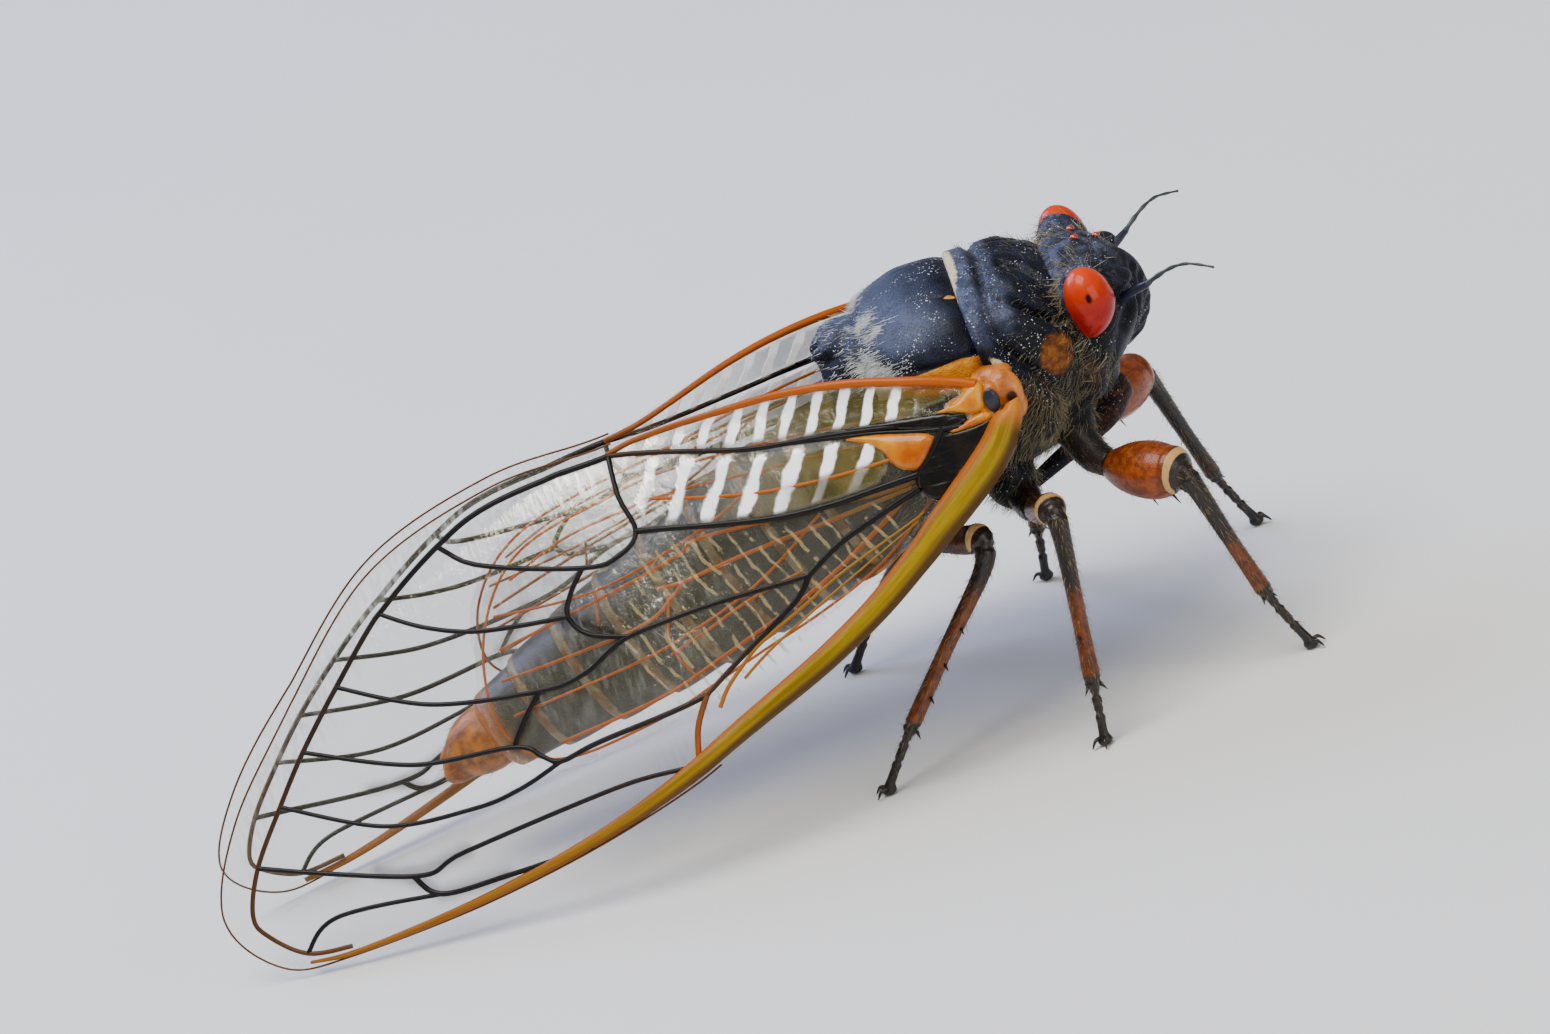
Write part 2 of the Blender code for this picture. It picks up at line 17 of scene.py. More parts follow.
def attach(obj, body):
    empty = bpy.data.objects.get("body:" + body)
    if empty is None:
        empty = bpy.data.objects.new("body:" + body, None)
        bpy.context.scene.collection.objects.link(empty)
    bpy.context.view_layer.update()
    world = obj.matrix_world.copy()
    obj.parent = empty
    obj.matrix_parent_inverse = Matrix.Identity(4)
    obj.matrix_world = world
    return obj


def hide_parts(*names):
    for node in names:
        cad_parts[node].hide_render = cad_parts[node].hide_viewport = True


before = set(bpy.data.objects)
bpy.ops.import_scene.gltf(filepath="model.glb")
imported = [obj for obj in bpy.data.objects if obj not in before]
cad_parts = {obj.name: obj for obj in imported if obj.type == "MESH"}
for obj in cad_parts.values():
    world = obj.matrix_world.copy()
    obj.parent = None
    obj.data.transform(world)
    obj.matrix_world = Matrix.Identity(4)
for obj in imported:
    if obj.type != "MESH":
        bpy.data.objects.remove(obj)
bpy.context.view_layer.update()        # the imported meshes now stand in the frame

# %% [markdown]
# ## Coordinates
# A cicada is easiest to draw round the hinge of its wings: x runs forward to the head, y to
# its left and z up, all in millimetres. One helper turns those numbers into metres in the
# frame of the solids, and nothing else in the file needs to know about it.

# %% From the wing hinge to the frame
MM = 0.001
HINGE = np.array((12.544, 0.0, 13.0))    # where the hinge stands in the frame, in millimetres
FLOOR = -13.0                            # height of the ground under the hinge


def to_frame(points):
    """Hinge millimetres to metres in the frame."""
    return (np.asarray(points, float) + HINGE) * MM


print("the hinge stands at", to_frame((0, 0, 0)))

# %% [markdown]
# ## The camera
# A long lens from a quarter of a metre away looks down on the insect's right side, and is
# rolled so that the body climbs across the picture. The direction was solved from the eyes,
# the wing hinges and the feet. Building the three axes by hand keeps that roll exact, which a
# Track To constraint would lose.

# %% Place the camera
PHOTO = (1550, 1034)
TURN, LIFT, ROLL = (math.radians(a) for a in (2.0, 20.5, 20.5))
PIXELS_PER_MM = 27.6
DISTANCE = 265.0
AIM, AIM_PIXEL = (0.0, -4.8, 0.0), (1000.0, 388.0)

towards = np.array((math.sin(TURN) * math.cos(LIFT), -math.cos(TURN) * math.cos(LIFT), math.sin(LIFT)))
level = np.array((math.cos(TURN), math.sin(TURN), 0.0))
above = np.cross(towards, level)
right = level * math.cos(ROLL) - above * math.sin(ROLL)
up = level * math.sin(ROLL) + above * math.cos(ROLL)
aside = (AIM_PIXEL[0] - PHOTO[0] / 2) / PIXELS_PER_MM
over = (PHOTO[1] / 2 - AIM_PIXEL[1]) / PIXELS_PER_MM
stand = AIM + towards * DISTANCE - right * aside - up * over

lens = bpy.data.cameras.new("camera")
lens.sensor_width = 36.0
lens.lens = PIXELS_PER_MM * DISTANCE / PHOTO[0] * lens.sensor_width
lens.clip_start, lens.clip_end = 0.01, 20.0


def put(name, data):
    """A new object in the scene."""
    made = bpy.data.objects.new(name, data)
    bpy.context.scene.collection.objects.link(made)
    return made


camera = put("camera", lens)
axes = Matrix((right, up, towards)).transposed().to_4x4()
camera.matrix_world = Matrix.Translation(to_frame(stand)) @ axes
bpy.context.scene.camera = camera
print("lens in mm:", round(lens.lens, 1))

# %% [markdown]
# ## Wiring node trees
# Shader and Geometry Nodes trees are both boards of nodes with wires between sockets. Wiring
# them by hand takes pages, so two small classes do it: a Signal is one socket, and adding or
# multiplying Signals adds the Math nodes; a Board puts down any other node from its type, its
# settings and its inputs.

# %% Signals and boards
class Signal:
    """One socket of a tree; arithmetic on it adds Math nodes."""

    def __init__(self, board, socket):
        self.board, self.socket = board, socket

    def math(self, operation, *others):
        inputs = dict(enumerate((self, *others)))
        return self.board.add("ShaderNodeMath", {"operation": operation}, inputs)

    def __add__(self, other):
        return self.math("ADD", other)

    def __sub__(self, other):
        return self.math("SUBTRACT", other)

    def __rsub__(self, other):
        return self * -1.0 + other

    def __mul__(self, other):
        return self.math("MULTIPLY", other)

    def __truediv__(self, other):
        return self.math("DIVIDE", other)

    __radd__, __rmul__ = __add__, __mul__

    def over(self, *others):
        """The greatest of this Signal and others."""
        for other in others:
            self = self.math("MAXIMUM", other)
        return self

    def step(self, low, high):
        """A soft step from 0 at low to 1 at high."""
        return self.board.add("ShaderNodeMapRange", {"interpolation_type": "SMOOTHSTEP"},
                              {"Value": self, "From Min": low, "From Max": high})


class Board:
    """A node tree that is being wired."""

    def __init__(self, tree):
        self.tree = tree

    def plug(self, socket, value):
        if isinstance(value, Signal):
            self.tree.links.new(value.socket, socket)
        elif socket.type == "RGBA":
            socket.default_value = (*value[:3], 1.0)
        else:
            socket.default_value = value

    def add(self, kind, settings=None, inputs=None, out=0):
        node = self.tree.nodes.new(kind)
        for key, value in (settings or {}).items():
            setattr(node, key, value)
        for key, value in (inputs or {}).items():
            self.plug(node.inputs[key], value)
        return Signal(self, node.outputs[out])

    def vector(self, operation, *values, out=0, **named):
        return self.add("ShaderNodeVectorMath", {"operation": operation},
                        {**dict(enumerate(values)), **named}, out)


# %% [markdown]
# ## Finishes
# Every finish is a Principled shader fed by patterns. The patterns are measured in hinge
# millimetres, read from Object coordinates, so a spot can be put where the insect has it.
# Markings that follow a form, such as the pale edge of the collar, are painted on the points
# of the mesh and read back as attributes.

# %% The finish class
class Finish(Board):
    """A material: patterns in hinge millimetres that feed one Principled shader."""

    def __init__(self, name, coat=0.0, coat_roughness=0.03, specular=0.5, **constants):
        self.material = bpy.data.materials.new(name)
        self.material.use_nodes = True
        super().__init__(self.material.node_tree)
        self.shader = self.tree.nodes["Principled BSDF"]
        self.feed(Coat_Weight=coat, Coat_Roughness=coat_roughness, Specular_IOR_Level=specular,
                  **constants)
        self.place = self.add("ShaderNodeMapping", {}, {
            "Vector": self.add("ShaderNodeTexCoord", out="Object"),
            "Scale": (1 / MM,) * 3, "Location": tuple(-HINGE)})

    def feed(self, **signals):
        for key, value in signals.items():
            self.plug(self.shader.inputs[key.replace("_", " ")], value)

    def noise(self, scale, detail=4.0, stretch=None, roughness=0.55, vector=None):
        vector = vector or self.place
        if stretch is not None:
            vector = self.vector("MULTIPLY", vector, stretch)
        return self.add("ShaderNodeTexNoise", {}, {
            "Vector": vector, "Scale": scale, "Detail": detail, "Roughness": roughness})

    def cells(self, scale):
        return self.add("ShaderNodeTexVoronoi", {}, {"Vector": self.place, "Scale": scale})

    def axes(self, letters):
        return (self.add("ShaderNodeSeparateXYZ", {}, {0: self.place}, out=a) for a in letters)

    def mix(self, share, low, high):
        """A colour between two others."""
        return self.add("ShaderNodeMix", {"data_type": "RGBA"}, {0: share, 6: low, 7: high}, out=2)

    def layer(self, colour, *layers):
        """Colours laid over a first one, each with its share."""
        for share, over in layers:
            colour = self.mix(share, colour, over)
        return colour

    def mark(self, name):
        """A marking that was painted on the points of the mesh."""
        return self.add("ShaderNodeAttribute", {"attribute_name": name}, out="Fac")

    def near(self, centre, radii, low):
        """0 outside an ellipsoid, rising to 1 at a share low of its radii."""
        share = self.vector("DIVIDE", self.vector("SUBTRACT", self.place, centre), radii)
        return 1.0 - self.vector("LENGTH", share, out="Value").step(low, 1.0)

    def relief(self, height, depth):
        """Bump whose height of 1 stands for a depth in millimetres."""
        self.feed(Normal=self.add("ShaderNodeBump", {}, {"Height": height, "Distance": depth * MM}))


# %% [markdown]
# ## Studio
# The stage is a plain pale floor, wide enough to fill the picture, with one big soft light
# overhead, a cooler one behind and a gentle fill. Large area lights give the long soft sheen
# that a black shell needs to be read at all.

# %% Floor and lights
HALF_FLOOR = 3.0                 # metres
SKY_COLOUR, SKY_STRENGTH = (0.95, 0.97, 1.0, 1.0), 0.22
LIGHTS = {                       # place and aim in hinge mm, size in mm, watts and colour
    "overhead": ((-60, -60, 330), (-6, 0, 0), 240, 1.60, (1.0, 0.97, 0.91)),
    "behind": ((-190, 190, 190), (-8, 0, 0), 190, 1.00, (0.50, 0.60, 1.0)),
    "fill": ((170, -260, 120), (0, 0, -4), 220, 0.45, (1.0, 0.97, 0.92)),
}

made = Finish("studio_floor", Roughness=0.75)
made.feed(Base_Color=made.mix(made.noise(0.05, 2.0), (0.76, 0.765, 0.75), (0.80, 0.80, 0.785)))
floor_mesh = bpy.data.meshes.new("floor")
corners = [(x * HALF_FLOOR, y * HALF_FLOOR, 0) for x, y in ((-1, -1), (1, -1), (1, 1), (-1, 1))]
floor_mesh.from_pydata(corners, [], [(0, 1, 2, 3)])
floor_mesh.materials.append(made.material)
floor = put("floor", floor_mesh)

for name, (place, aim, size, watts, colour) in LIGHTS.items():
    light = bpy.data.lights.new(name, "AREA")
    light.size, light.energy, light.color = size * MM, watts, colour
    lamp = put(name, light)
    lamp.location = to_frame(place)
    lamp.rotation_euler = Vector(to_frame(aim) - to_frame(place)).to_track_quat("-Z", "Y").to_euler()
world = bpy.data.worlds.new("studio")
world.use_nodes = True
sky = world.node_tree.nodes["Background"].inputs
sky["Color"].default_value, sky["Strength"].default_value = SKY_COLOUR, SKY_STRENGTH
bpy.context.scene.world = world
print("lights:", ", ".join(LIGHTS))

# %% [markdown]
# ## Sculpting tools
# The hard plates of the body are sculpted in code. Rough closed parts are fused by a voxel
# remesh into one even skin, the skin is relaxed, and then every point is pushed along its
# normal by a sum of swellings and grooves. It is the same work as with a sculpting brush, but
# each stroke has a place and a size, and the right side always mirrors the left.

# %% Paths, tables and shares
def smooth_line(points, step=0.15, closed=False):
    """Points about every step along a smooth curve through the given ones."""
    points = [np.array(p, float) for p in points]
    count = len(points)
    result = []
    for k in range(count if closed else count - 1):
        spots = [(k + j) % count if closed else min(max(k + j, 0), count - 1) for j in (-1, 0, 1, 2)]
        a, b, c, d = (points[spot] for spot in spots)
        pieces = max(1, round(float(np.linalg.norm(c[:3] - b[:3])) / step))
        for t in np.arange(pieces) / pieces:
            result.append(0.5 * (2 * b + (c - a) * t + (2 * a - 5 * b + 4 * c - d) * t * t
                                 + (3 * b - a - 3 * c + d) * t ** 3))
    if not closed:
        result.append(points[-1])
    return np.array(result)


def along_table(table, x):
    """A smooth curve through the rows of a table that never swings past them."""
    places, values = (np.array(column, float) for column in zip(*sorted(table)))
    chords = np.diff(values) / np.diff(places)
    product = np.maximum(chords[1:] * chords[:-1], 0.0)
    inner = np.where(product > 0, 2 * product / (np.abs(chords[1:] + chords[:-1]) + 1e-12), 0.0)
    slopes = np.concatenate((chords[:1], inner * np.sign(chords[1:]), chords[-1:]))
    x = np.asarray(x, float)
    k = np.clip(np.searchsorted(places, x) - 1, 0, len(places) - 2)
    span = places[k + 1] - places[k]
    t = np.clip((x - places[k]) / span, 0, 1)
    return ((2 * t ** 3 - 3 * t ** 2 + 1) * values[k] + (t ** 3 - 2 * t ** 2 + t) * span * slopes[k]
            + (3 * t ** 2 - 2 * t ** 3) * values[k + 1] + (t ** 3 - t ** 2) * span * slopes[k + 1])


def strides(path):
    """The distances between the points of a path."""
    return np.linalg.norm(np.diff(path, axis=0), axis=1)


def milestones(path):
    """How far along a path, in millimetres, each of its points lies."""
    return np.concatenate(([0.0], np.cumsum(strides(path))))


def nearest(points, path):
    """For each point its distance to a path, and how far along the path it is met."""
    starts = milestones(path)
    best, place = np.full(len(points), 1e9), np.zeros(len(points))
    for k, (a, b) in enumerate(zip(path, path[1:])):
        ab = b - a
        t = np.clip((points - a) @ ab / max(ab @ ab, 1e-12), 0, 1)
        away = np.linalg.norm(points - a - t[:, None] * ab, axis=1)
        place = np.where(away < best, starts[k] + t * (starts[k + 1] - starts[k]), place)
        best = np.minimum(best, away)
    return best, place


def ramp(values, low, width):
    """0 up to low and 1 from a width beyond it; with a negative width it falls instead."""
    return np.clip((values - low) / width, 0, 1)


def band(values, centre, width):
    """1 within a width of the centre, falling to 0 beyond it."""
    return np.exp(-((values - centre) / width) ** 4)


def blot(points, centre, radii):
    """1 at the centre of a soft ellipsoid, falling to 0 round it."""
    return np.exp(-(((points - centre) / radii) ** 2).sum(axis=1))


def stroke(points, path, width):
    """1 along a path, falling to 0 beside it."""
    return np.exp(-(nearest(points, smooth_line(path))[0] / width) ** 2)


def round_turn(count):
    return np.linspace(0, 2 * math.pi, count, endpoint=False)


# %% Rough parts
def add_ellipsoid(bm, centre, radii, lean=0.0, turn=0.0, segments=32):
    made = bmesh.ops.create_uvsphere(bm, u_segments=segments, v_segments=segments // 2, radius=1.0)
    place = (Matrix.Translation(centre) @ Matrix.Rotation(turn, 4, "Z")
             @ Matrix.Rotation(lean, 4, "Y") @ Matrix.Diagonal((*radii, 1.0)))
    bmesh.ops.transform(bm, matrix=place, verts=made["verts"])


def add_lumps(bm, lumps, **shape):
    """Ellipsoids from centre, radii, lean and turn; one beside the middle plane gets a twin."""
    for centre, radii, *angles in lumps:
        lean, turn = (*angles, 0.0, 0.0)[:2]
        for side in (1, -1) if centre[1] else (1,):
            place = (centre[0], side * centre[1], centre[2])
            add_ellipsoid(bm, place, radii, lean, side * turn, **shape)


def add_rings(bm, rings):
    """A closed skin over rings of equally many points."""
    rows = [[bm.verts.new(point) for point in ring] for ring in rings]
    count = len(rows[0])
    for low, high in zip(rows, rows[1:]):
        for k in range(count):
            n = (k + 1) % count
            bm.faces.new((low[k], low[n], high[n], high[k]))
    for row in (rows[0], rows[-1]):
        centre = bm.verts.new(sum((v.co for v in row), Vector()) / count)
        for k in range(count):
            bm.faces.new((row[k], row[(k + 1) % count], centre))


def add_hull(bm, table, steps, sides=64, top=1.0, bottom=1.0):
    """A body of upright ovals from a table of x, half width, centre, rise and drop."""
    columns = [[(row[0], row[k]) for row in table] for k in (1, 2, 3, 4)]
    across, height = np.cos(round_turn(sides)), np.sin(round_turn(sides))
    power = np.where(height > 0, top, bottom)
    wide = np.sign(across) * np.abs(across) ** power
    tall = np.sign(height) * np.abs(height) ** power
    rings = []
    for x in np.linspace(table[0][0], table[-1][0], steps):
        half, centre, rise, drop = (float(along_table(column, x)) for column in columns)
        z = centre + np.where(height > 0, rise, drop) * tall
        rings.append(np.stack((np.full(sides, x), half * wide, z), axis=1))
    add_rings(bm, rings)


CAPS = ((-0.92, 0.38), (-0.6, 0.78))     # place and radius of the rings that round an end


def add_tube(bm, stations, sides=20):
    """A tube with round ends through points with radii."""
    line = smooth_line(stations, 0.12)
    ahead = np.gradient(line[:, :3], axis=0)
    ahead /= np.linalg.norm(ahead, axis=1)[:, None]
    first, last = ([np.append(line[end, :3] + sign * ahead[end] * line[end, 3] * a * 0.7,
                              line[end, 3] * b) for a, b in caps]
                   for end, sign, caps in ((0, 1, CAPS), (-1, -1, CAPS[::-1])))
    line = np.vstack((first, line, last))
    ahead = np.vstack((ahead[:1], ahead[:1], ahead, ahead[-1:], ahead[-1:]))
    side, turn, loops = np.array((1.0, 0.0, 0.0)), round_turn(sides), []
    for station, way in zip(line, ahead):
        side = side - way * (side @ way)
        side /= np.linalg.norm(side)
        other = np.cross(way, side)
        oval = np.outer(np.cos(turn), side) + np.outer(np.sin(turn), other)
        loops.append(station[:3] + station[3] * oval)
    add_rings(bm, loops)


def outward(mesh):
    """The same mesh with all its faces turned outwards."""
    bm = bmesh.new()
    bm.from_mesh(mesh)
    bmesh.ops.recalc_face_normals(bm, faces=bm.faces[:])
    bm.to_mesh(mesh)
    bm.free()
    return mesh


def paint(mesh, **marks):
    """Store markings on the points of a mesh; a single value is spread over all of them."""
    for name, values in marks.items():
        values = np.asarray(values, float)
        arrow = values.shape[-1:] == (3,)
        layer = mesh.attributes.new(name, "FLOAT_VECTOR" if arrow else "FLOAT", "POINT")
        spread = np.broadcast_to(values, (len(mesh.vertices), 3)[:1 + arrow])
        layer.data.foreach_set("vector" if arrow else "value", spread.ravel())


# %% Skins and pieces
class Skin:
    """A dense closed mesh, in hinge millimetres, shaped point by point."""

    def __init__(self, bm, voxel=None, passes=0):
        bmesh.ops.recalc_face_normals(bm, faces=bm.faces[:])
        self.mesh = bpy.data.meshes.new("skin")
        bm.to_mesh(self.mesh)
        bm.free()
        if voxel:
            host = put("host", self.mesh)
            fuse = host.modifiers.new("fuse", "REMESH")
            fuse.mode, fuse.voxel_size = "VOXEL", voxel
            graph = bpy.context.evaluated_depsgraph_get()
            self.mesh = bpy.data.meshes.new_from_object(host.evaluated_get(graph))
            bpy.data.objects.remove(host)
        self.points = np.zeros((len(self.mesh.vertices), 3))
        self.mesh.vertices.foreach_get("co", self.points.ravel())
        self.relax(passes)

    def relax(self, passes, pull=0.6):
        """Move each point towards the mean of its neighbours."""
        ends = np.zeros(len(self.mesh.edges) * 2, np.int32)
        self.mesh.edges.foreach_get("vertices", ends)
        a, b = ends.reshape(-1, 2).T
        count = len(self.points)
        degree = np.bincount(a, minlength=count) + np.bincount(b, minlength=count)
        for _ in range(passes):
            for axis in range(3):
                value = self.points[:, axis]
                total = np.bincount(a, value[b], count) + np.bincount(b, value[a], count)
                self.points[:, axis] = value + pull * (total / degree - value)
        self.update()

    def update(self):
        self.mesh.vertices.foreach_set("co", self.points.ravel())
        self.mesh.update()
        self.normals = np.zeros_like(self.points)
        self.mesh.vertex_normals.foreach_get("vector", self.normals.ravel())

    def folded(self):
        """The points brought over to the left side."""
        return self.points * (1, 0, 1) + np.abs(self.points) * (0, 1, 0)

    def sculpt(self, push=0.0, grooves=(), swellings=()):
        """Push the points along their normals, by so much, by strokes and by blots."""
        spots = self.folded()
        for path, width, depth in grooves:
            push = push - depth * stroke(spots, path, width)
        for centre, radii, height in swellings:
            push = push + height * blot(spots, centre, radii)
        self.points += self.normals * push[:, None]
        self.update()


def fused(voxel, passes, hull=None, lumps=(), tubes=()):
    """A skin fused from a hull, lumps and tubes."""
    bm = bmesh.new()
    if hull:
        add_hull(bm, *hull)
    add_lumps(bm, lumps)
    for tube in tubes:
        add_tube(bm, *tube)
    return Skin(bm, voxel, passes)


def set_in_place(name, mesh, finish, slot, nodes=()):
    """A finished piece from a mesh in hinge millimetres."""
    mesh = mesh.copy()
    mesh.transform(Matrix.Scale(MM, 4) @ Matrix.Translation(HINGE))
    mesh.shade_smooth()
    if finish is not None:
        mesh.materials.clear()
        mesh.materials.append(finish.material)
    piece = put(name, mesh)
    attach(piece, "root")
    if nodes:
        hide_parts(*nodes)
    print(name, "has", sum(len(face.vertices) - 2 for face in mesh.polygons), "triangles")


def set_pair(name, mesh, finish, slot, nodes=()):
    """A piece on the left and its mirror image on the right."""
    other = mesh.copy()
    other.transform(Matrix.Scale(-1, 4, (0, 1, 0)))
    other.flip_normals()
    for side, made in (("_left", mesh), ("_right", other)):
        set_in_place(name + side, made, finish, slot, [node + side for node in nodes])


# %% [markdown]
# ## The black shell
# Cuticle is a hard, satin lacquer over a blue-black pigment. It isn't smooth: close up it is
# shagreened with tiny pits, wrinkled on the head, and dusted with pollen. Three scales of
# pattern do that: pits and wrinkles in the bump, cloudy changes of colour, and sparse specks
# of white dust. Over it lie the painted markings: cream, amber, rust and silver. On top lies a
# blue-grey painted sheen, a reflection of cool light painted into the colour, that thins out in patches
# like breath on a window.

# %% Shell finish
CREAM, AMBER, SILVER = (0.66, 0.56, 0.36), (0.46, 0.15, 0.002), (0.50, 0.52, 0.50)
# The middle colour on the next line is a painted sheen: a blue-grey reflection put into the colour.
RUST, PAINTED_SHEEN, POLLEN = (0.080, 0.020, 0.003), (0.150, 0.185, 0.320), (0.62, 0.64, 0.62)


def shell_finish(name, dark, sheen, roughness, pits, wrinkles, dust):
    made = Finish(name, 0.04, 0.25, 0.13, Sheen_Weight=0.03, Sheen_Roughness=0.45,
                  Sheen_Tint=(0.42, 0.48, 1.0))
    cloud = made.noise(1.1, 5.0)
    grain = made.cells(13.0).step(0.05, 0.55)
    fold = made.noise(2.6, 6.0, roughness=0.62)
    edge = (made.noise(5.0, 4.0) - 0.5) * 0.5
    patchy = min(wrinkles, 1.0) * 0.75
    # Painted sheen: a blue-grey reflection painted into the colour where the mesh is marked for it,
    # thinned out in patches.
    bloom = made.mark("bloom") * (fold * 0.6 + 0.5)
    bloom = bloom * (made.noise(2.2, 5.0, roughness=0.65).step(0.42, 0.60) * patchy + (1.0 - patchy))
    coarse, fine = 1.0 - made.cells(4.6).step(0.08, 0.17), 1.0 - made.cells(9.0).step(0.10, 0.22)
    speck = coarse.over(0.7 * fine) * made.noise(0.9, 2.0).step(0.46, 0.60) * dust
    pale = (made.mark("pale") + edge).step(0.35, 0.6)
    amber = (made.mark("amber") + edge * 0.6).step(0.35, 0.6)
    rust = (made.mark("rust") + edge * 1.4).step(0.25, 0.85)
    silver = (made.mark("silver") + edge * 1.8).step(0.45, 0.95)
    colour = made.layer(
        dark, (cloud.step(0.38, 0.68), sheen), (bloom, PAINTED_SHEEN), (speck, POLLEN),
        (rust, made.mix(fold.step(0.35, 0.70), RUST, (0.30, 0.095, 0.010))),
        (amber, made.mix(made.noise(1.4).step(0.35, 0.65), AMBER, (0.62, 0.27, 0.008))),
        (pale, CREAM), (silver * 0.7, SILVER))
    made.feed(Base_Color=colour, Roughness=roughness + cloud * 0.12 - amber * 0.12 + speck * 0.3)
    made.relief(grain * pits + fold * wrinkles, 0.06)
    return made


shell, face, furrowed = (shell_finish(*looks) for looks in (
    ("black_shell", (0.0030, 0.0036, 0.0070), (0.007, 0.010, 0.024), 0.37, 0.40, 0.15, 1.5),
    ("wrinkled_shell", (0.0035, 0.0038, 0.0055), (0.011, 0.012, 0.019), 0.42, 0.5, 1.1, 1.0),
    ("furrowed_shell", (0.0030, 0.0036, 0.0065), (0.007, 0.010, 0.020), 0.37, 0.50, 0.65, 1.6)))
print("markings laid over the shell: pale, amber, rust, silver, bloom")

# %% [markdown]
# ## The head
# The head is a short, broad capsule. A swollen, cross-ridged face plate bulges in front of it,
# where the sucking muscles sit; two ledges shade the feelers; the crown is rough, split by a
# furrow, and carries three small simple eyes. The capsule, the face and the eye stalks are
# fused as rough lumps, and the ridges and furrows are carved afterwards.

# %% Head skin
EYE_CENTRE, EYE_RADII, EYE_LEAN = (4.15, 3.75, 1.60), (0.90, 1.0, 1.33), math.radians(-5.0)
EYE_NARROWING = 0.08         # of its lowest part
EYE_SWEEP = 0.34             # of its lowest point, backwards
RIM_PLACE, RIM_HEIGHT = 1.10, 0.10           # the welt round the eye, its place in eye radii
RIDGE_PITCH, RIDGE_HEIGHT = 0.46, 0.045
HEAD_RINGS = (
    (2.3, 3.1, 0.3, 2.1, 2.6), (3.25, 3.4, 0.3, 2.45, 2.9), (3.9, 3.62, 0.3, 2.62, 2.75),
    (4.7, 3.35, 0.35, 2.4, 2.15), (5.35, 2.75, 0.4, 1.9, 1.55), (5.88, 1.9, 0.42, 1.2, 1.05),
    (6.18, 1, 0.38, 0.58, 0.6),
)
CROWN_FURROWS = (
    ([(3.0, 0, 2.9), (4.4, 0, 2.9), (5.6, 0, 2.4)], 0.14, 0.15),
    ([(3.9, 1.0, 2.9), (4.8, 1.35, 2.7), (5.6, 1.5, 2.1)], 0.17, 0.20),
    ([(3.5, 1.9, 2.8), (4.4, 2.15, 2.5), (5.2, 2.45, 1.9)], 0.17, 0.20),
)
head = fused(voxel=0.085, passes=4, hull=(HEAD_RINGS, 24), lumps=[
    ((4.56, 0, 0.18), (1.90, 1.70, 2.10), math.radians(24)),
    ((3.75, 0, -2.05), (0.80, 1.10, 1.45), math.radians(10)),
    ((4.05, 2.92, 1.42), (0.97, 1.13, 1.38), EYE_LEAN),
    ((5.08, 2.05, 1.50), (0.85, 0.95, 0.42), 0.0, -0.55),
    ((3.20, 2.10, -1.40), (0.85, 0.95, 1.25)),
])
x, y, z = head.folded().T
face_share = np.exp(-((y / 1.55) ** 6)) * ramp(x, 4.9, 0.5) * ramp(z, 1.75, -0.4)
ridges = np.sin((z + 0.22 * y ** 2 - 0.1 * x) * 2 * math.pi / RIDGE_PITCH)
head.sculpt(
    RIDGE_HEIGHT * ridges * face_share * ramp(y, 0.22, 0.35),
    grooves=[
        ([(6.6, 0, 1.3), (6.5, 0, 0), (6.0, 0, -1.2), (5.1, 0, -2.0)], 0.16, 0.09),
        ([(5.75, 1.45, 1.55), (5.95, 1.75, 0.6), (5.5, 1.8, -0.6), (4.8, 1.55, -1.7), (4.2, 1.1, -2.3)],
         0.15, 0.22),
        *CROWN_FURROWS,
        ([(5.3, 2.75, 1.05), (5.7, 2.5, 0.6), (5.0, 2.9, 0.0)], 0.32, 0.30),
        ([(4.6, 3.1, -0.3), (4.2, 2.7, -1.4), (3.9, 1.9, -2.5)], 0.18, 0.14)],
    swellings=[
        ((4.35, 0.55, 2.85), (0.45, 0.30, 0.4), 0.10), ((5.15, 0.0, 2.6), (0.40, 0.30, 0.4), 0.12),
        ((3.4, 2.3, 2.6), (0.5, 0.7, 0.5), 0.12)])
turned = (head.folded() - EYE_CENTRE) @ np.array(Matrix.Rotation(-EYE_LEAN, 3, "Y")).T
rim_share = np.linalg.norm(turned / EYE_RADII, axis=1)       # 1 on the surface of the eye
head.sculpt(RIM_HEIGHT * np.exp(-((rim_share - RIM_PLACE) / 0.07) ** 2))
print("head points:", len(head.points))

# %% Head markings
spots = head.folded()
x, y, z = spots.T
crown = ramp(z, 1.9, 0.6) * ramp(x, 5.9, -0.5)
below_eye = blot(spots, (3.4, 3.0, -1.2), (0.9, 1.4, 1.1))
behind = blot(spots, (3.0, 3.3, 1.3), (0.55, 0.8, 1.7))
beside = blot(spots, (3.2, 2.7, 2.2), (0.55, 0.9, 0.9))
# Painted light on the head: a blue-grey painted sheen beside the eye and on the crown. It is left out
# of the crown furrows, so they are painted darker as shade.
furrow_shade = sum(stroke(spots, path, 1.5 * width) for path, width, depth in CROWN_FURROWS)
beyond_eye = rim_share > 1.06
paint(head.mesh, rust=0.45 * below_eye, lie=(-0.75, 0.0, -0.35),
      bloom=0.80 * np.clip(beside + 0.7 * crown, 0, 1) * (1 - np.clip(furrow_shade, 0, 1)),
      fur=np.clip(0.22 * crown + 1.2 * behind + 1.1 * below_eye, 0, 1.5) * (1 - ramp(x, 5.6, 0.5))
      * beyond_eye)
set_in_place("head_skin", head.mesh, face, "cuticle", ["head"])

# %% [markdown]
# ## The compound eyes
# A living eye is a dome of thousands of facets under a clear lens coat, so it is both deeply
# coloured and glossy. One smooth ellipsoid, narrowed and swept back a little below, is enough
# for the form. The facets are far smaller than a pixel, so they are bump, and the coat on the
# shader gives the wet highlight.

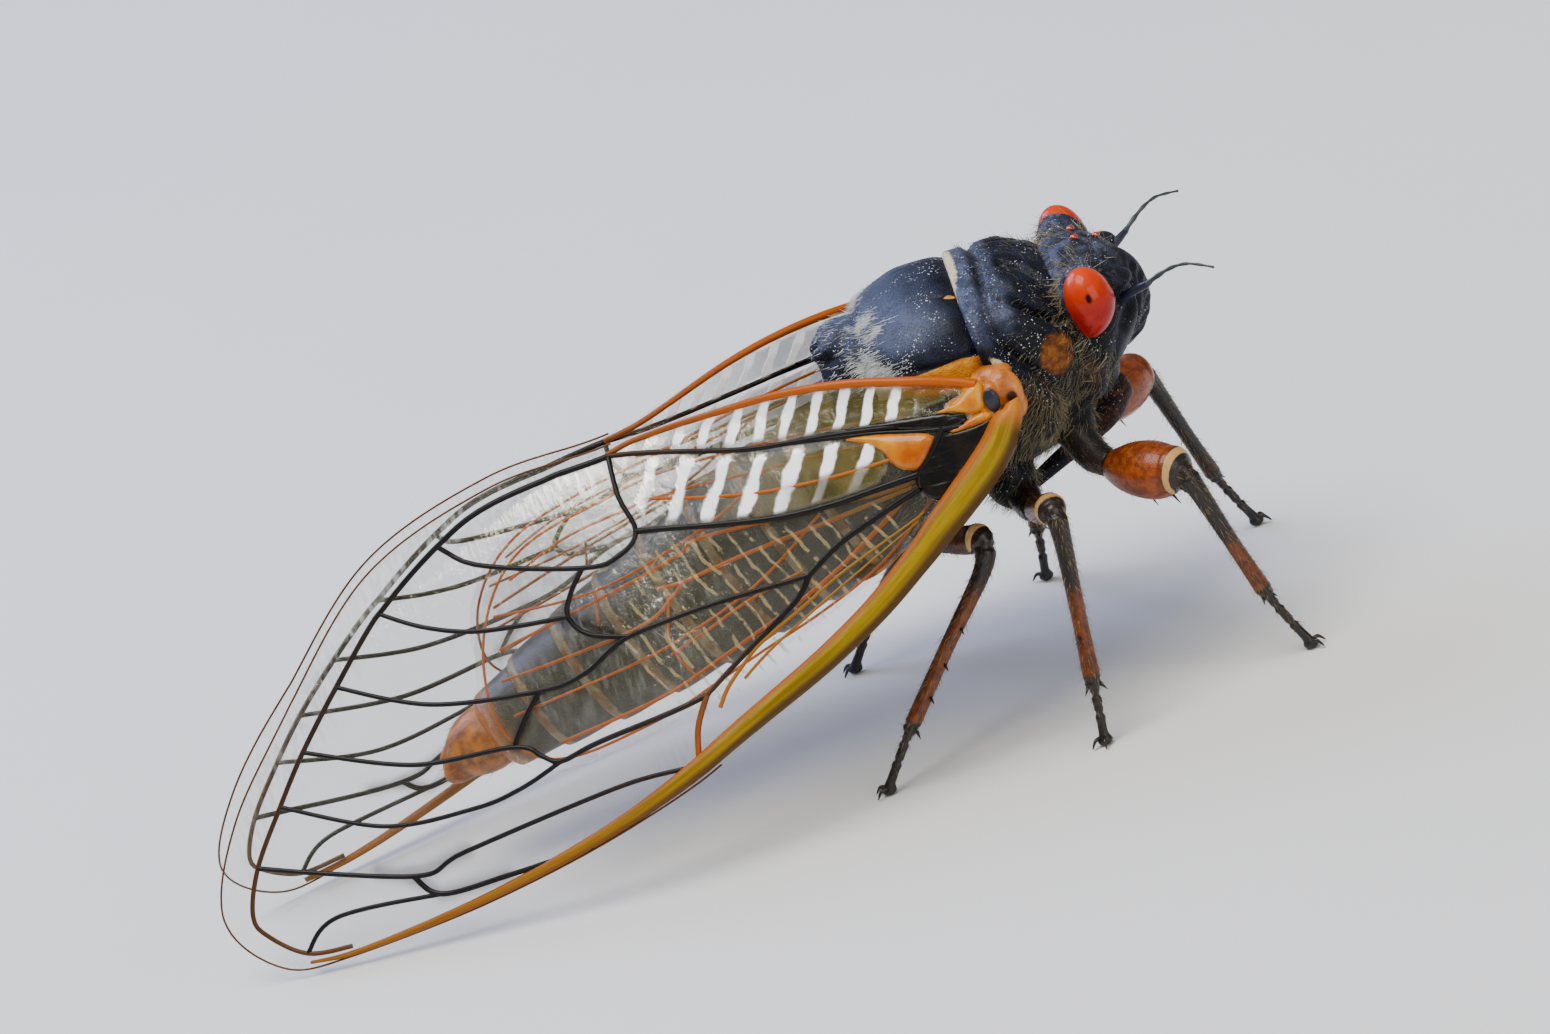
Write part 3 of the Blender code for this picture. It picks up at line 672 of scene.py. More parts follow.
# %% Eyes
made = Finish("red_eye", 0.32, 0.10, 0.08)
(height,) = made.axes("Z")
facets = made.cells(24.0).step(0.0, 0.7)
red = made.mix(height.step(1.2, 3.0), (0.27, 0.0025, 0.0004), (0.64, 0.050, 0.001))
pupils = [made.near((4.10, y, 2.02), (0.15, 0.3, 0.25), 0.4) for y in (4.66, -4.66)]
red = made.layer(red, (made.noise(1.3, 2.0).step(0.45, 0.75), (0.46, 0.010, 0.001)),
                 (facets * 0.10, (0.28, 0.003, 0.001)),
                 *((pupil, (0.010, 0.003, 0.002)) for pupil in pupils))
made.feed(Base_Color=red, Roughness=0.22 + facets * 0.08)
made.relief(facets, 0.006)
for side, name in ((1, "left"), (-1, "right")):
    ball = bmesh.new()
    centre = (EYE_CENTRE[0], side * EYE_CENTRE[1], EYE_CENTRE[2])
    add_ellipsoid(ball, centre, EYE_RADII, EYE_LEAN, segments=96)
    ball = Skin(ball)
    low = ramp(ball.points[:, 2], EYE_CENTRE[2], -EYE_RADII[2])
    ahead = ball.points[:, 0] - EYE_CENTRE[0]
    ball.points[:, 0] -= ahead * EYE_NARROWING * low + EYE_SWEEP * low ** 2
    ball.update()
    set_in_place("eye_dome_" + name, ball.mesh, made, "eye", ["eye_" + name])

# %% Simple eyes on the crown
beads = bmesh.new()
add_lumps(beads, [((5.22, 0, 2.62), (0.15, 0.15, 0.10))], segments=20)
add_lumps(beads, [((4.42, 0.52, 3.00), (0.15, 0.15, 0.11))])
made = Finish("red_bead", 1.0, 0.1, Roughness=0.2)
made.feed(Base_Color=made.mix(made.noise(6.0), (0.25, 0.006, 0.002), (0.42, 0.03, 0.004)))
set_in_place("simple_eyes", Skin(beads).mesh, made, "eye")

# %% [markdown]
# ## Front shield
# Behind the head comes the shield of the first segment: a saddle with a raised collar along
# its rear edge, a plateau in the middle, and deep slanting fissures that part it into lobes.
# The fissures are the form that the eye reads first, so they are carved from paths that were
# laid over the solids, and the pale rim of the collar is painted along the same edge.

# %% Front shield skin
SHIELD_RINGS = (
    (3.15, 3.45, 0.75, 1.85, 3.4), (2.75, 3.8, 0.78, 2.22, 3.85), (2.3, 4.05, 0.8, 2.38, 4.05),
    (1.5, 4.25, 0.85, 2.58, 4.2), (0.75, 4.36, 0.9, 2.6, 4.18), (0.35, 4.52, 0.9, 2.66, 4.1),
    (-0.05, 4.6, 0.9, 2.66, 4), (-0.3, 4.52, 0.9, 2.6, 3.85),
)
FISSURE = (
    (1.05, 3, 2.75), (1.24, 3.13, 2.61), (1.63, 3.45, 2.29), (2.04, 3.63, 1.95), (2.49, 3.69, 1.6),
    (2.85, 3.75, 1.2),
)
UPPER_FISSURE = (
    (1.5, 1.25, 3.35), (1.74, 1.4, 3.21), (2.13, 1.59, 3.05), (2.46, 1.99, 2.81), (2.85, 2.4, 2.35),
)
LOBE_EDGE = (
    (0.57, 3.01, 2.86), (0.72, 2.75, 2.92), (0.93, 2.68, 2.92), (1.15, 2.8, 2.85),
    (1.32, 2.9, 2.75),
)
COLLAR_GROOVE = (
    (0.78, 0, 3.45), (0.74, 0.6, 3.41), (0.66, 1.71, 3.28), (0.5, 3, 2.95), (0.44, 3.66, 2.54),
    (0.46, 4.15, 2.09), (0.56, 4.4, 1.52), (0.76, 4.34, 0.93), (1.07, 4.25, 0.4), (1.5, 4.1, -0.3),
)
COLLAR_EDGE = (
    (-0.24, 0, 3.42), (-0.24, 1.31, 3.26), (-0.26, 2.51, 2.9), (-0.24, 3.4, 2.4),
    (-0.18, 4.15, 1.75), (-0.05, 4.5, 1.2), (0.46, 4.6, 0.6), (1.11, 4.25, -0.1),
)
shield = fused(voxel=0.085, passes=3, hull=(SHIELD_RINGS, 30, 96))
shield.sculpt(
    grooves=[
        (FISSURE, 0.15, 0.55), (UPPER_FISSURE, 0.17, 0.27), (LOBE_EDGE, 0.12, 0.13),
        (COLLAR_GROOVE, 0.17, 0.24), (COLLAR_EDGE, 0.20, -0.10),
        ([(2.9, 0.28, 3.0), (1.8, 0.34, 3.45), (0.9, 0.30, 3.5)], 0.10, 0.07),
        ([(1.3, 2.0, 3.2), (1.75, 2.3, 3.0), (2.2, 2.8, 2.6)], 0.12, 0.10),
        ([(1.2, 4.2, 1.7), (1.8, 4.15, 1.2), (2.4, 3.9, 0.9)], 0.13, 0.14)],
    swellings=[
        ((1.75, 2.75, 2.85), (0.55, 0.55, 0.6), 0.17), ((1.35, 3.75, 1.95), (0.60, 0.50, 0.6), 0.20),
        ((2.05, 4.00, 1.35), (0.60, 0.50, 0.5), 0.13), ((1.30, 2.00, 3.20), (0.45, 0.50, 0.5), 0.10),
        ((1.6, 0.75, 3.45), (0.9, 0.35, 0.5), 0.08)])
spots = shield.folded()
x, y, z = spots.T
rim_width = 0.15 + 0.17 * ramp(y, 2.9, -1.8)
rim_away = nearest(spots, smooth_line(COLLAR_EDGE))[0]
cheek = ramp(blot(spots, (2.38, 3.9, 0.15), (0.72, 0.8, 0.90)), 0.18, 0.45)
# Painted sheen: a blue-grey reflection painted on the top of the collar, along the top at the rear and
# on the upper lobe, where the cool light from behind glances off.
top_rear = ramp(z, 1.4, 1.2)
bloom = ramp(x, 0.55, -0.3) * top_rear + 0.5 * top_rear * band(x, 0.95, 0.35)
lobe_bloom = blot(spots, (1.0, 3.3, 2.6), (0.45, 0.9, 0.7))
front = np.exp(-((x - 2.9) / 0.35) ** 2) * ramp(y, 2.2, 0.8)
paint(shield.mesh, pale=np.clip(1.3 - rim_away / rim_width, 0, 1) * (z > 0.4), rust=cheek,
      bloom=0.62 * np.clip(bloom + lobe_bloom, 0, 1), lie=(-0.8, 0.0, -0.3),
      fur=np.clip(1.1 * ramp(z, 0.2, -1.0) + 1.2 * front + 0.16, 0, 1.4) * (1 - cheek) * (x > 0.2))
set_in_place("front_shield", shield.mesh, furrowed, "cuticle", ["pronotum"])

# %% [markdown]
# ## Back shield
# The hump over the wings is one smooth dome. Fine curved seams run back over it from two pale
# dots, its edge is amber over the wing hinges, and it ends in a raised cross with silver hair
# in its corners. A dome this plain shows every flaw, so only shallow strokes are used.

# %% Back shield skin
DOME_RINGS = (
    (0.25, 3.8, 0.6, 2.55, 0.6), (-0.15, 4.05, 0.65, 2.72, 0.7), (-0.9, 4.3, 0.7, 2.95, 0.8),
    (-2, 4.28, 0.75, 2.98, 0.7), (-3.2, 3.92, 0.8, 2.66, 0.6), (-4.2, 3.25, 0.85, 2.12, 0.55),
    (-5, 2.4, 0.85, 1.62, 0.5), (-5.6, 1.75, 0.85, 1.2, 0.45), (-6, 1.2, 0.85, 0.9, 0.4),
)
SEAM = (
    (-0.3, 2.36, 3.05), (-0.9, 2.32, 3.18), (-1.14, 2.21, 3.24), (-1.82, 2.05, 3.32),
    (-2.55, 1.9, 3.28), (-3.1, 1.99, 3.09), (-3.7, 2.15, 2.75),
)
MIDDLE_SEAM = ((-0.3, 0.55, 3.5), (-1.2, 0.75, 3.6), (-2.1, 0.55, 3.68), (-2.7, 0.35, 3.6))
SILVER_PADS = (
    ((-3.85, 1.50, 2.95), (0.42, 0.28, 0.4)), ((-3.55, 2.30, 2.70), (0.50, 0.22, 0.4)),
    ((-4.20, 1.05, 2.85), (0.30, 0.25, 0.4)), ((-4.35, 2.75, 1.80), (0.65, 0.60, 0.50)),
    ((-3.70, 3.35, 1.50), (0.70, 0.40, 0.28)),
)
dome = fused(voxel=0.085, passes=5, hull=(DOME_RINGS, 30, 96, 1.0, 0.5), lumps=[
    ((-4.95, 0.62, 2.48), (0.95, 0.30, 0.34), math.radians(-14), -0.62),
    ((-5.55, 0.72, 2.12), (0.75, 0.30, 0.34), math.radians(-18), 0.62),
    ((-5.25, 0, 2.42), (0.55, 0.50, 0.36), math.radians(-14)),
])
dome.sculpt(grooves=[
    (SEAM, 0.07, 0.07), (MIDDLE_SEAM, 0.06, 0.03),
    ([(-4.1, 0.3, 2.95), (-4.3, 1.2, 2.75), (-4.45, 2.1, 2.2), (-4.3, 2.9, 1.7)], 0.20, 0.22),
    ([(-0.2, 4.0, 1.35), (-1.5, 4.25, 1.35), (-2.8, 4.05, 1.45), (-3.9, 3.5, 1.5)], 0.12, 0.12)])
spots = dome.folded()
x, y, z = spots.T
margin = ramp(z, 1.42 + 0.04 * x - 0.25 * ramp(x, -1.0, 1.0), -0.12) * (x < 0.1) * (x > -4.3)
silver = sum(blot(spots, centre, radii) for centre, radii in SILVER_PADS)
dots = blot(spots, (-0.62, 2.34, 3.12), (0.26, 0.10, 0.3))
# Painted sheen: a blue-grey reflection painted on the upper rear of the dome and on its upper side.
gleam = 0.7 * (ramp(x, -0.8, -2.0) * ramp(z, 1.9, 0.8)) + blot(spots, (-2.6, 2.9, 2.6), (1.1, 1.0, 0.8))
paint(dome.mesh, bloom=0.55 * np.clip(gleam, 0, 1), lie=(-0.8, 0.15, -0.2),
      amber=np.clip(margin * (1 - 0.9 * ramp(x, -3.4, -0.5)) + 1.1 * dots, 0, 1),
      pale=0.5 * np.clip(1.5 * dots, 0, 1) + margin * ramp(x, -3.2, -0.5),
      silver=np.clip(silver * 1.1, 0, 1),
      fur=np.clip(silver * 1.5, 0, 1.4) + 0.05 * ramp(x, -3.0, -0.9))
set_in_place("back_shield", dome.mesh, shell, "cuticle", ["mesonotum"])

# %% [markdown]
# ## Underside of the thorax
# Below the wings the thorax is a deep keel of rounded plates, thickly haired, with the roots
# of the legs let into it. The plates are lumps fused to the keel, so the skin stays whole from
# the neck to the waist.

# %% Underside skin
KEEL_RINGS = (
    (2.6, 2.6, -1.4, 1.3, 2.3), (1.2, 3.6, -1.3, 1.4, 3), (-0.15, 4, -1.2, 1.45, 3.45),
    (-1.2, 4.3, -1.2, 1.5, 3.8), (-3, 4.02, -1.2, 1.55, 3.85), (-4.6, 3.58, -1.3, 1.62, 3.66),
    (-5.6, 3.2, -1.4, 1.7, 3.48), (-6.1, 2.9, -1.6, 1.6, 3.2),
)
keel = fused(voxel=0.11, passes=4, hull=(KEEL_RINGS, 28, 72, 0.6), lumps=[
    ((2.15, 1.75, -3.10), (0.85, 0.95, 1.25)), ((-0.75, 2.35, -4.35), (1.00, 1.20, 1.15)),
    ((-4.15, 2.30, -4.25), (1.15, 1.30, 1.10)), ((-2.50, 3.30, -2.60), (1.60, 1.10, 1.60)),
    ((0.90, 3.55, -1.40), (1.00, 0.85, 1.60)),
])
keel.sculpt(
    grooves=[([(0.5, 4.3, 0.2), (0.1, 4.2, -1.5), (0.3, 3.4, -3.6)], 0.18, 0.22),
             ([(-1.9, 4.5, -0.6), (-2.1, 4.4, -2.4), (-2.3, 3.4, -4.4)], 0.18, 0.20),
             ([(-4.3, 4.2, -0.6), (-4.6, 3.9, -2.4), (-4.9, 3.2, -4.0)], 0.18, 0.18)],
    swellings=[((-5.4, 1.6, -4.9), (0.8, 1.1, 0.6), 0.15)])
spots = keel.folded()
x, y, z = spots.T
flank, ahead = ramp(y, 2.0, 1.5), ramp(x, -0.6, 1.2)
paint(keel.mesh, rust=0.34 * ahead * flank * ramp(z, -3.4, 1.0), lie=(-0.7, 0.0, -0.55),
      amber=blot(spots, (-0.35, 4.25, 0.1), (0.9, 0.8, 0.55)), fur=0.55 + 0.65 * ahead * flank)
set_in_place("thorax_keel", keel.mesh, face, "cuticle", ["thorax_underside"])

# %% [markdown]
# ## Recipes in Geometry Nodes
# Some parts repeat or follow a rule: the rings of the abdomen, the veins of a wing, the hairs.
# Each gets a Geometry Nodes tree with named inputs. A Recipe builds the tree, runs it on a
# host mesh and hands back a plain mesh, because instances would be lost in an export.

# %% The recipe class
SOCKETS = {int: "NodeSocketInt", float: "NodeSocketFloat", tuple: "NodeSocketVector"}


class Recipe(Board):
    """A Geometry Nodes tree with named inputs."""

    def __init__(self, name, inputs):
        super().__init__(bpy.data.node_groups.new(name, "GeometryNodeTree"))
        sockets = self.tree.interface
        for way in ("INPUT", "OUTPUT"):
            sockets.new_socket("Geometry", in_out=way, socket_type="NodeSocketGeometry")
        self.keys = {}
        for key, value in inputs.items():
            item = sockets.new_socket(key, in_out="INPUT", socket_type=SOCKETS[type(value)])
            item.default_value = value
            self.keys[key] = item.identifier
        self.inlet = self.tree.nodes.new("NodeGroupInput")
        self.outlet = self.tree.nodes.new("NodeGroupOutput")

    def ask(self, key):
        return Signal(self, self.inlet.outputs[key])

    def stored(self, name, kind="FLOAT"):
        return self.add("GeometryNodeInputNamedAttribute", {"data_type": kind}, {"Name": name})

    def store(self, geometry, name, value, kind="FLOAT"):
        return self.add("GeometryNodeStoreNamedAttribute", {"data_type": kind, "domain": "POINT"},
                        {"Geometry": geometry, "Name": name, "Value": value})

    def place_copies(self, points, copy, aim, scale):
        """Copies on points, each with its z axis laid along an arrow."""
        turn = self.add("FunctionNodeAlignRotationToVector", {"axis": "Z"}, {"Vector": aim})
        return self.add("GeometryNodeInstanceOnPoints", {}, {
            "Points": points, "Instance": copy, "Rotation": turn, "Scale": scale})

    def sweep(self, line, scale, sides):
        """A circle swept along a line."""
        circle = self.add("GeometryNodeCurvePrimitiveCircle", {}, {"Resolution": sides, "Radius": 1.0})
        return self.add("GeometryNodeCurveToMesh", {}, {
            "Curve": line, "Profile Curve": circle, "Fill Caps": True, "Scale": scale})

    def serve(self, geometry, finish):
        """End the tree in real geometry with its material."""
        real = self.add("GeometryNodeRealizeInstances", {}, {0: geometry})
        self.plug(self.outlet.inputs[0], self.add("GeometryNodeSetMaterial", {}, {
            "Geometry": real, "Material": finish.material}))

    def grow(self, mesh, **values):
        """Run the recipe on a mesh and return a plain mesh."""
        host = put("host", mesh)
        modifier = host.modifiers.new("recipe", "NODES")
        modifier.node_group = self.tree
        for key, value in values.items():
            modifier[self.keys[key]] = value
        graph = bpy.context.evaluated_depsgraph_get()
        made = bpy.data.meshes.new_from_object(host.evaluated_get(graph))
        host.modifiers.remove(modifier)
        bpy.data.objects.remove(host)
        return made


def tube_recipe(name, finish):
    """Tubes round bare edges that carry their thickness."""
    made = Recipe(name, {"Sides": 10})
    line = made.add("GeometryNodeMeshToCurve", {}, {"Mesh": made.ask("Geometry")})
    made.serve(made.sweep(line, made.stored("thick"), made.ask("Sides")), finish)
    return made


def wires(lines):
    """A mesh of bare edges from lines of x, y, z, thickness and tone."""
    mesh = bpy.data.meshes.new("wires")
    rows = np.concatenate(lines)
    starts = np.cumsum([0] + [len(line) for line in lines])
    edges = [(k, k + 1) for a, b in zip(starts, starts[1:]) for k in range(a, b - 1)]
    mesh.from_pydata(rows[:, :3].tolist(), edges, [])
    paint(mesh, thick=rows[:, 3], tone=rows[:, 4])
    return mesh


print("recipe inputs may be", ", ".join(kind.__name__ for kind in SOCKETS))

# %% [markdown]
# ## The abdomen
# Eight rings telescope into each other, each with a thin pale rim that stands out over the
# next. That is a rule, so Geometry Nodes draw it: a line runs down the axis, its radius
# follows a taper plus a saw-tooth for the rims, and a circle is swept along it. The place
# along the rings is stored, so the finish can colour every rim by it.

# %% Abdomen finish
made = ring_finish = Finish("abdomen_shell", 0.2, 0.3, 0.35)
wander = (made.noise(2.2, 3.0) - 0.5) * 0.10
rim = (made.mark("ring").math("FRACT") + wander).step(0.80, 0.86)
black = made.mix(made.noise(1.6, 5.0), (0.004, 0.0035, 0.0035), (0.014, 0.011, 0.009))
pale = made.mix(made.noise(1.2, 2.0).step(0.4, 0.6), (0.30, 0.22, 0.10), (0.20, 0.07, 0.008))
colour = made.layer(black, (rim * 0.75, pale), (made.mark("ring").step(7.3, 8.0), (0.44, 0.12, 0.006)))
made.feed(Base_Color=colour, Roughness=0.36 + made.noise(3.0) * 0.15)
made.relief(made.cells(8.0).step(0.05, 0.5) * 0.4 + made.noise(5.0, 5.0) * 0.6, 0.05)

# %% Abdomen recipe
ABDOMEN_FRONT, ABDOMEN_LENGTH, SEGMENTS = -5.95, 16.2, 8
AXIS_START, AXIS_FALL = -3.05, 0.30
rings = Recipe("telescoping_rings", {
    "Start": (0.0, 0.0, 0.0), "End": (0.0, 0.0, -1.0), "Rings": SEGMENTS, "Steps": 160, "Sides": 88,
    "Half width": 3.42, "Rim": 0.15, "Height": 0.93})
axis = rings.add("GeometryNodeCurvePrimitiveLine", {}, {
    "Start": rings.ask("Start"), "End": rings.ask("End")})
axis = rings.add("GeometryNodeResampleCurve", {}, {"Curve": axis, "Count": rings.ask("Steps")})
share = rings.add("GeometryNodeSplineParameter")
axis = rings.store(axis, "ring", share * rings.ask("Rings"))
taper = 1.0 - ((share - 0.12) / 1.15).math("POWER", 2.0)
saw = rings.stored("ring").math("FRACT")
swell = saw.step(-0.1, 0.85) * (1.0 - saw.step(0.93, 0.995)) * rings.ask("Rim")
close = (1.0 - share.step(0.97, 1.0) * 0.35) * (share.step(-0.02, 0.03) * 0.3 + 0.7)
tube = rings.sweep(axis, (taper * rings.ask("Half width") + swell) * close, rings.ask("Sides"))
away = rings.vector("SUBTRACT", rings.add("GeometryNodeInputPosition"), rings.ask("Start"))
ahead, height = (rings.add("ShaderNodeSeparateXYZ", {}, {0: away}, out=letter) for letter in "XZ")
press = rings.add("ShaderNodeCombineXYZ", {}, {
    "Z": (height - ahead * AXIS_FALL) * (rings.ask("Height") - 1.0)})
rings.serve(rings.add("GeometryNodeSetPosition", {}, {"Geometry": tube, "Offset": press}), ring_finish)


def on_axis(ahead):
    """A place on the axis of the abdomen, so far ahead of its front edge."""
    return (ABDOMEN_FRONT + ahead, 0.0, AXIS_START + ahead * AXIS_FALL)


belly = rings.grow(bpy.data.meshes.new("nothing"),
                   Start=on_axis(0.75), End=on_axis(-ABDOMEN_LENGTH - 0.2))
set_in_place("abdomen_rings", outward(belly), None, "cuticle", ["abdomen"])

# %% Tail and belly flaps
x, _, z = on_axis(-ABDOMEN_LENGTH)
tail = fused(voxel=0.08, passes=4, lumps=[
    ((x - 0.2, 0, z), (1.75, 1.42, 1.28), math.radians(-15)),
    ((x - 1.35, 0.42, z - 0.55), (0.95, 0.42, 0.62), math.radians(-22)),
    ((x - 1.35, 0, z - 0.1), (0.90, 0.55, 0.5), math.radians(-18)),
])
tail.sculpt(grooves=[
    ([(x - 0.9, 1.3, z - 1.0), (x - 1.0, 0.9, z + 0.4), (x - 1.0, 0.0, z + 0.9)], 0.12, 0.10)])
made = Finish("amber_tail", 0.2, 0.3, 0.3)
made.feed(Base_Color=made.mix(made.noise(1.6).step(0.35, 0.65),
                              (0.16, 0.040, 0.005), (0.50, 0.15, 0.008)),
          Roughness=0.38 + made.noise(3.0) * 0.15)
made.relief(made.noise(5.0, 5.0), 0.05)
paint(tail.mesh, fur=0.35, lie=(-0.9, 0, -0.2))
set_in_place("tail_cone", tail.mesh, made, "amber", ["abdomen_tip"])
flaps = fused(voxel=0.08, passes=3, lumps=[
    ((-6.35, 1.55, -5.95), (1.25, 1.35, 0.22), math.radians(-17), 0.25)])
set_in_place("belly_flaps", flaps.mesh, made, "amber")

# %% [markdown]
# ## The surface of the wings
# At rest the wings meet in a ridge behind the thorax and slope down past the body like a roof.
# Both wings of a side lie on one curved surface, given by a rule: at each place along the body
# the distance from the middle plane starts at the ridge and grows as the wing goes down. All
# that belongs to a wing, its film, its veins and its stripes, is drawn flat in the side view
# and lifted onto that surface, so nothing can float off it.

# %% The wing rule
RIDGE_LINES = (
    (-36, -9.5), (-33, -7.5), (-30, -4.5), (-23.6, -1.3), (-15.5, 1.3), (-14.2, 1.4), (-9, 1.35),
    (-5, 1.2), (-3, 1.1), (0, 0.7),
)
RIDGE_WIDTHS = (
    (-36, 1.6), (-33, 1.4), (-30, 1), (-23.6, 0.65), (-14.2, 0.55), (-9, 2.45), (-5, 4), (-3, 4.75),
    (0, 5.3),
)
SPREADS = (
    (-36, 0.6), (-30, 0.74), (-23.6, 1), (-17.6, 1.21), (-14, 1.33), (-10.5, 1.19), (-4, 0.85),
    (0, 0.6),
)
HIND_INWARD = 1.2            # the hind wing lies this far inside the fore wing


def wing_distance(x, z):
    """How far the wing stands from the body's middle plane."""
    drop = np.maximum(along_table(RIDGE_LINES, x) - z, 0.0)
    return along_table(RIDGE_WIDTHS, x) + along_table(SPREADS, x) * ((drop + 0.3) ** 0.75 - 0.3 ** 0.75)


def on_wing(spots, inward=0.0, lift=0.0, probe=0.05):
    """Places on the left wing for points of the side view, and the surface's normals there."""
    x, z = np.asarray(spots, float).T
    slope_x = (wing_distance(x + probe, z) - wing_distance(x - probe, z)) / (2 * probe)
    slope_z = (wing_distance(x, z + probe) - wing_distance(x, z - probe)) / (2 * probe)
    normal = np.stack((-slope_x, np.ones(len(x)), -slope_z), axis=1)
    normal /= np.linalg.norm(normal, axis=1)[:, None]
    place = np.stack((x, wing_distance(x, z) - inward, z), axis=1)
    return place + normal * np.reshape(lift, (-1, 1)), normal


print("half width of the folded wings in mm:", round(float(wing_distance(-8.0, -6.0)), 2))

# %% [markdown]
# ## Wing film
# The film is a few hundredths of a millimetre of clear cuticle. It shows by its reflections.
# Where the cells behind the shoulder are folded like a fan, the bright bars of glare are painted:
# white in the colour and glowing a little. A sheet of glass would be slow and dark, so the finish
# mixes a clear Transparent shader with a thin reflecting one, and the share of the second rises
# on the folds, in the smoky spots and in the black corner at the base.

# %% Film finish
UPPER_SLANT, UPPER_PITCH, UPPER_START = 0.70, 1.02, 1.8
LOWER_SLANT, LOWER_PITCH, LOWER_START = 0.80, 1.42, 2.9
LADDER_PITCH = 0.60
# The emission makes the painted white glare bars glow.
made = film = Finish("wing_film", Emission_Strength=0.45)
cloud = made.noise(0.7, 4.0)
wobble = (made.noise(0.8, 3.0) - 0.5) * 3.4
along, over = made.axes("XZ")


def waves(line, pitch, shift):
    """A wave along a line, -1 to 1."""
    return (line * (2 * math.pi / pitch) + shift).math("COSINE")


# The bright bars on the folds are painted glare: white in the colour, mostly opaque and glowing.
upper_bars = waves(along - over * UPPER_SLANT, UPPER_PITCH, wobble + UPPER_START)
lower_bars = waves(along - over * LOWER_SLANT, LOWER_PITCH, wobble + LOWER_START)
painted_glare = (upper_bars.step(0.05, 0.80) * made.mark("upper")
          + lower_bars.step(0.10, 0.85) * made.mark("lower"))
rung = waves(along * 0.89 + over * 0.45, LADDER_PITCH, wobble * 1.9).step(0.66, 0.97)
rung = rung * made.mark("ladder") * made.noise(1.6, 2.0).step(0.36, 0.52)
cell, dark, orange, smoke = (made.mark(name) for name in ("cell", "dark", "orange", "smoke"))
wrinkle = made.noise(1.0, 3.0, (5.0, 1.0, 1.2))
# Painted glints: whitish reflections painted near the rear edge, in a few patches and faintly over the
# hind wing, broken up by wrinkles.
painted_glints = made.mark("painted_glints") * wrinkle.step(0.42, 0.66) * 0.6
tint = made.layer(
    made.mix(cloud.step(0.3, 0.7), (0.62, 0.58, 0.36), (0.80, 0.80, 0.66)),
    (smoke, (0.05, 0.035, 0.02)),
    (cell, made.mix(cloud.step(0.35, 0.65), (0.10, 0.085, 0.020), (0.22, 0.17, 0.045))),
    (rung, (0.46, 0.34, 0.15)), ((painted_glare + painted_glints).step(0.1, 0.6), (0.97, 0.98, 1.0)),
    (orange, (0.50, 0.12, 0.003)), (dark, (0.008, 0.006, 0.005)))
solid = (dark * 0.97).over(orange * 0.9)
edge_on = made.add("ShaderNodeLayerWeight", {}, {"Blend": 0.25}, out="Facing")
share = 0.025 + cloud * 0.05 + edge_on * 0.16 + smoke * 0.30 + painted_glare * 0.92 + painted_glints * 0.30
share = share.over(cell * 0.42, rung * 0.38, solid).math("MINIMUM", 1.0)
matt = painted_glare.over(solid, cell, rung)
made.feed(Base_Color=tint, Metallic=0.8 * (1.0 - matt), Roughness=0.10 + cloud * 0.12,
          Emission_Color=made.mix(painted_glare, (0.0, 0.0, 0.0), (1.0, 1.0, 1.0)))
made.relief(made.noise(1.3, 4.0) + wrinkle * 0.6, 0.09)
made.plug(made.tree.nodes["Material Output"].inputs["Surface"], made.add("ShaderNodeMixShader", {}, {
    0: share, 1: made.add("ShaderNodeBsdfTransparent"), 2: Signal(made, made.shader.outputs[0])}))

# %% Plans of the wings
FORE_EDGE = (
    (-1, -2.2), (-3.7, -4), (-7, -6), (-10.5, -7.6), (-17.6, -10.1), (-23.9, -11.7),
    (-29.6, -12.55), (-32.3, -12.4), (-33.8, -10.3), (-32.2, -7.2), (-28.9, -3.9), (-24.3, 0),
    (-19, 1.55), (-14.4, 1.55), (-10, 2), (-5.5, 1.95), (-2.8, 1.4), (-0.9, 0.75), (-0.2, -0.6),
)
HIND_EDGE = (
    (-2.2, -1.9), (-6, -4.6), (-11, -6.4), (-16.5, -7.9), (-20.3, -8.3), (-21.9, -6.6),
    (-21.3, -3.4), (-19, -0.9), (-14.8, 0.1), (-10, 0.5), (-6, 0.5), (-2.6, 0),
)


def flat(path):
    """The places of a side view in the middle plane."""
    return np.array([(p[0], 0.0, p[1]) for p in path], float)


def depth_inside(spots, loop):
    """Distance to the edge of a loop in the side view, positive within it."""
    loop = np.array(loop, float)
    after = np.roll(loop, -1, axis=0)
    x, z = spots[:, 0, None], spots[:, 1, None]
    crosses = (loop[:, 1] > z) != (after[:, 1] > z)
    rise = np.where(loop[:, 1] == after[:, 1], 1.0, after[:, 1] - loop[:, 1])
    meets = loop[:, 0] + (z - loop[:, 1]) / rise * (after[:, 0] - loop[:, 0])
    within = (crosses & (x < meets)).sum(axis=1) % 2 == 1
    away = nearest(flat(spots), flat(np.vstack((loop, loop[:1]))))[0]
    return np.where(within, away, -away)


ROW_SHARE = 0.87             # rows this much closer than the points in a row give even triangles


def film_plan(edge, pitch, step=0.3):
    """Points and triangles of a flat film with an even pitch."""
    loop = smooth_line(edge, step, closed=True)
    low, high = loop.min(axis=0), loop.max(axis=0)
    rows = np.arange(low[1], high[1], pitch * ROW_SHARE)
    grid = np.array([(x + (k % 2) * pitch / 2, z) for k, z in enumerate(rows)
                     for x in np.arange(low[0], high[0], pitch)])
    grid = grid[depth_inside(grid, loop) > pitch * 0.5]
    points = [Vector(p) for p in np.vstack((loop, grid))]
    rim = [(k, (k + 1) % len(loop)) for k in range(len(loop))]
    made = delaunay_2d_cdt(points, rim, [], 1, 1e-6)         # 1 keeps only what lies inside
    return np.array([p[:] for p in made[0]]), made[2]


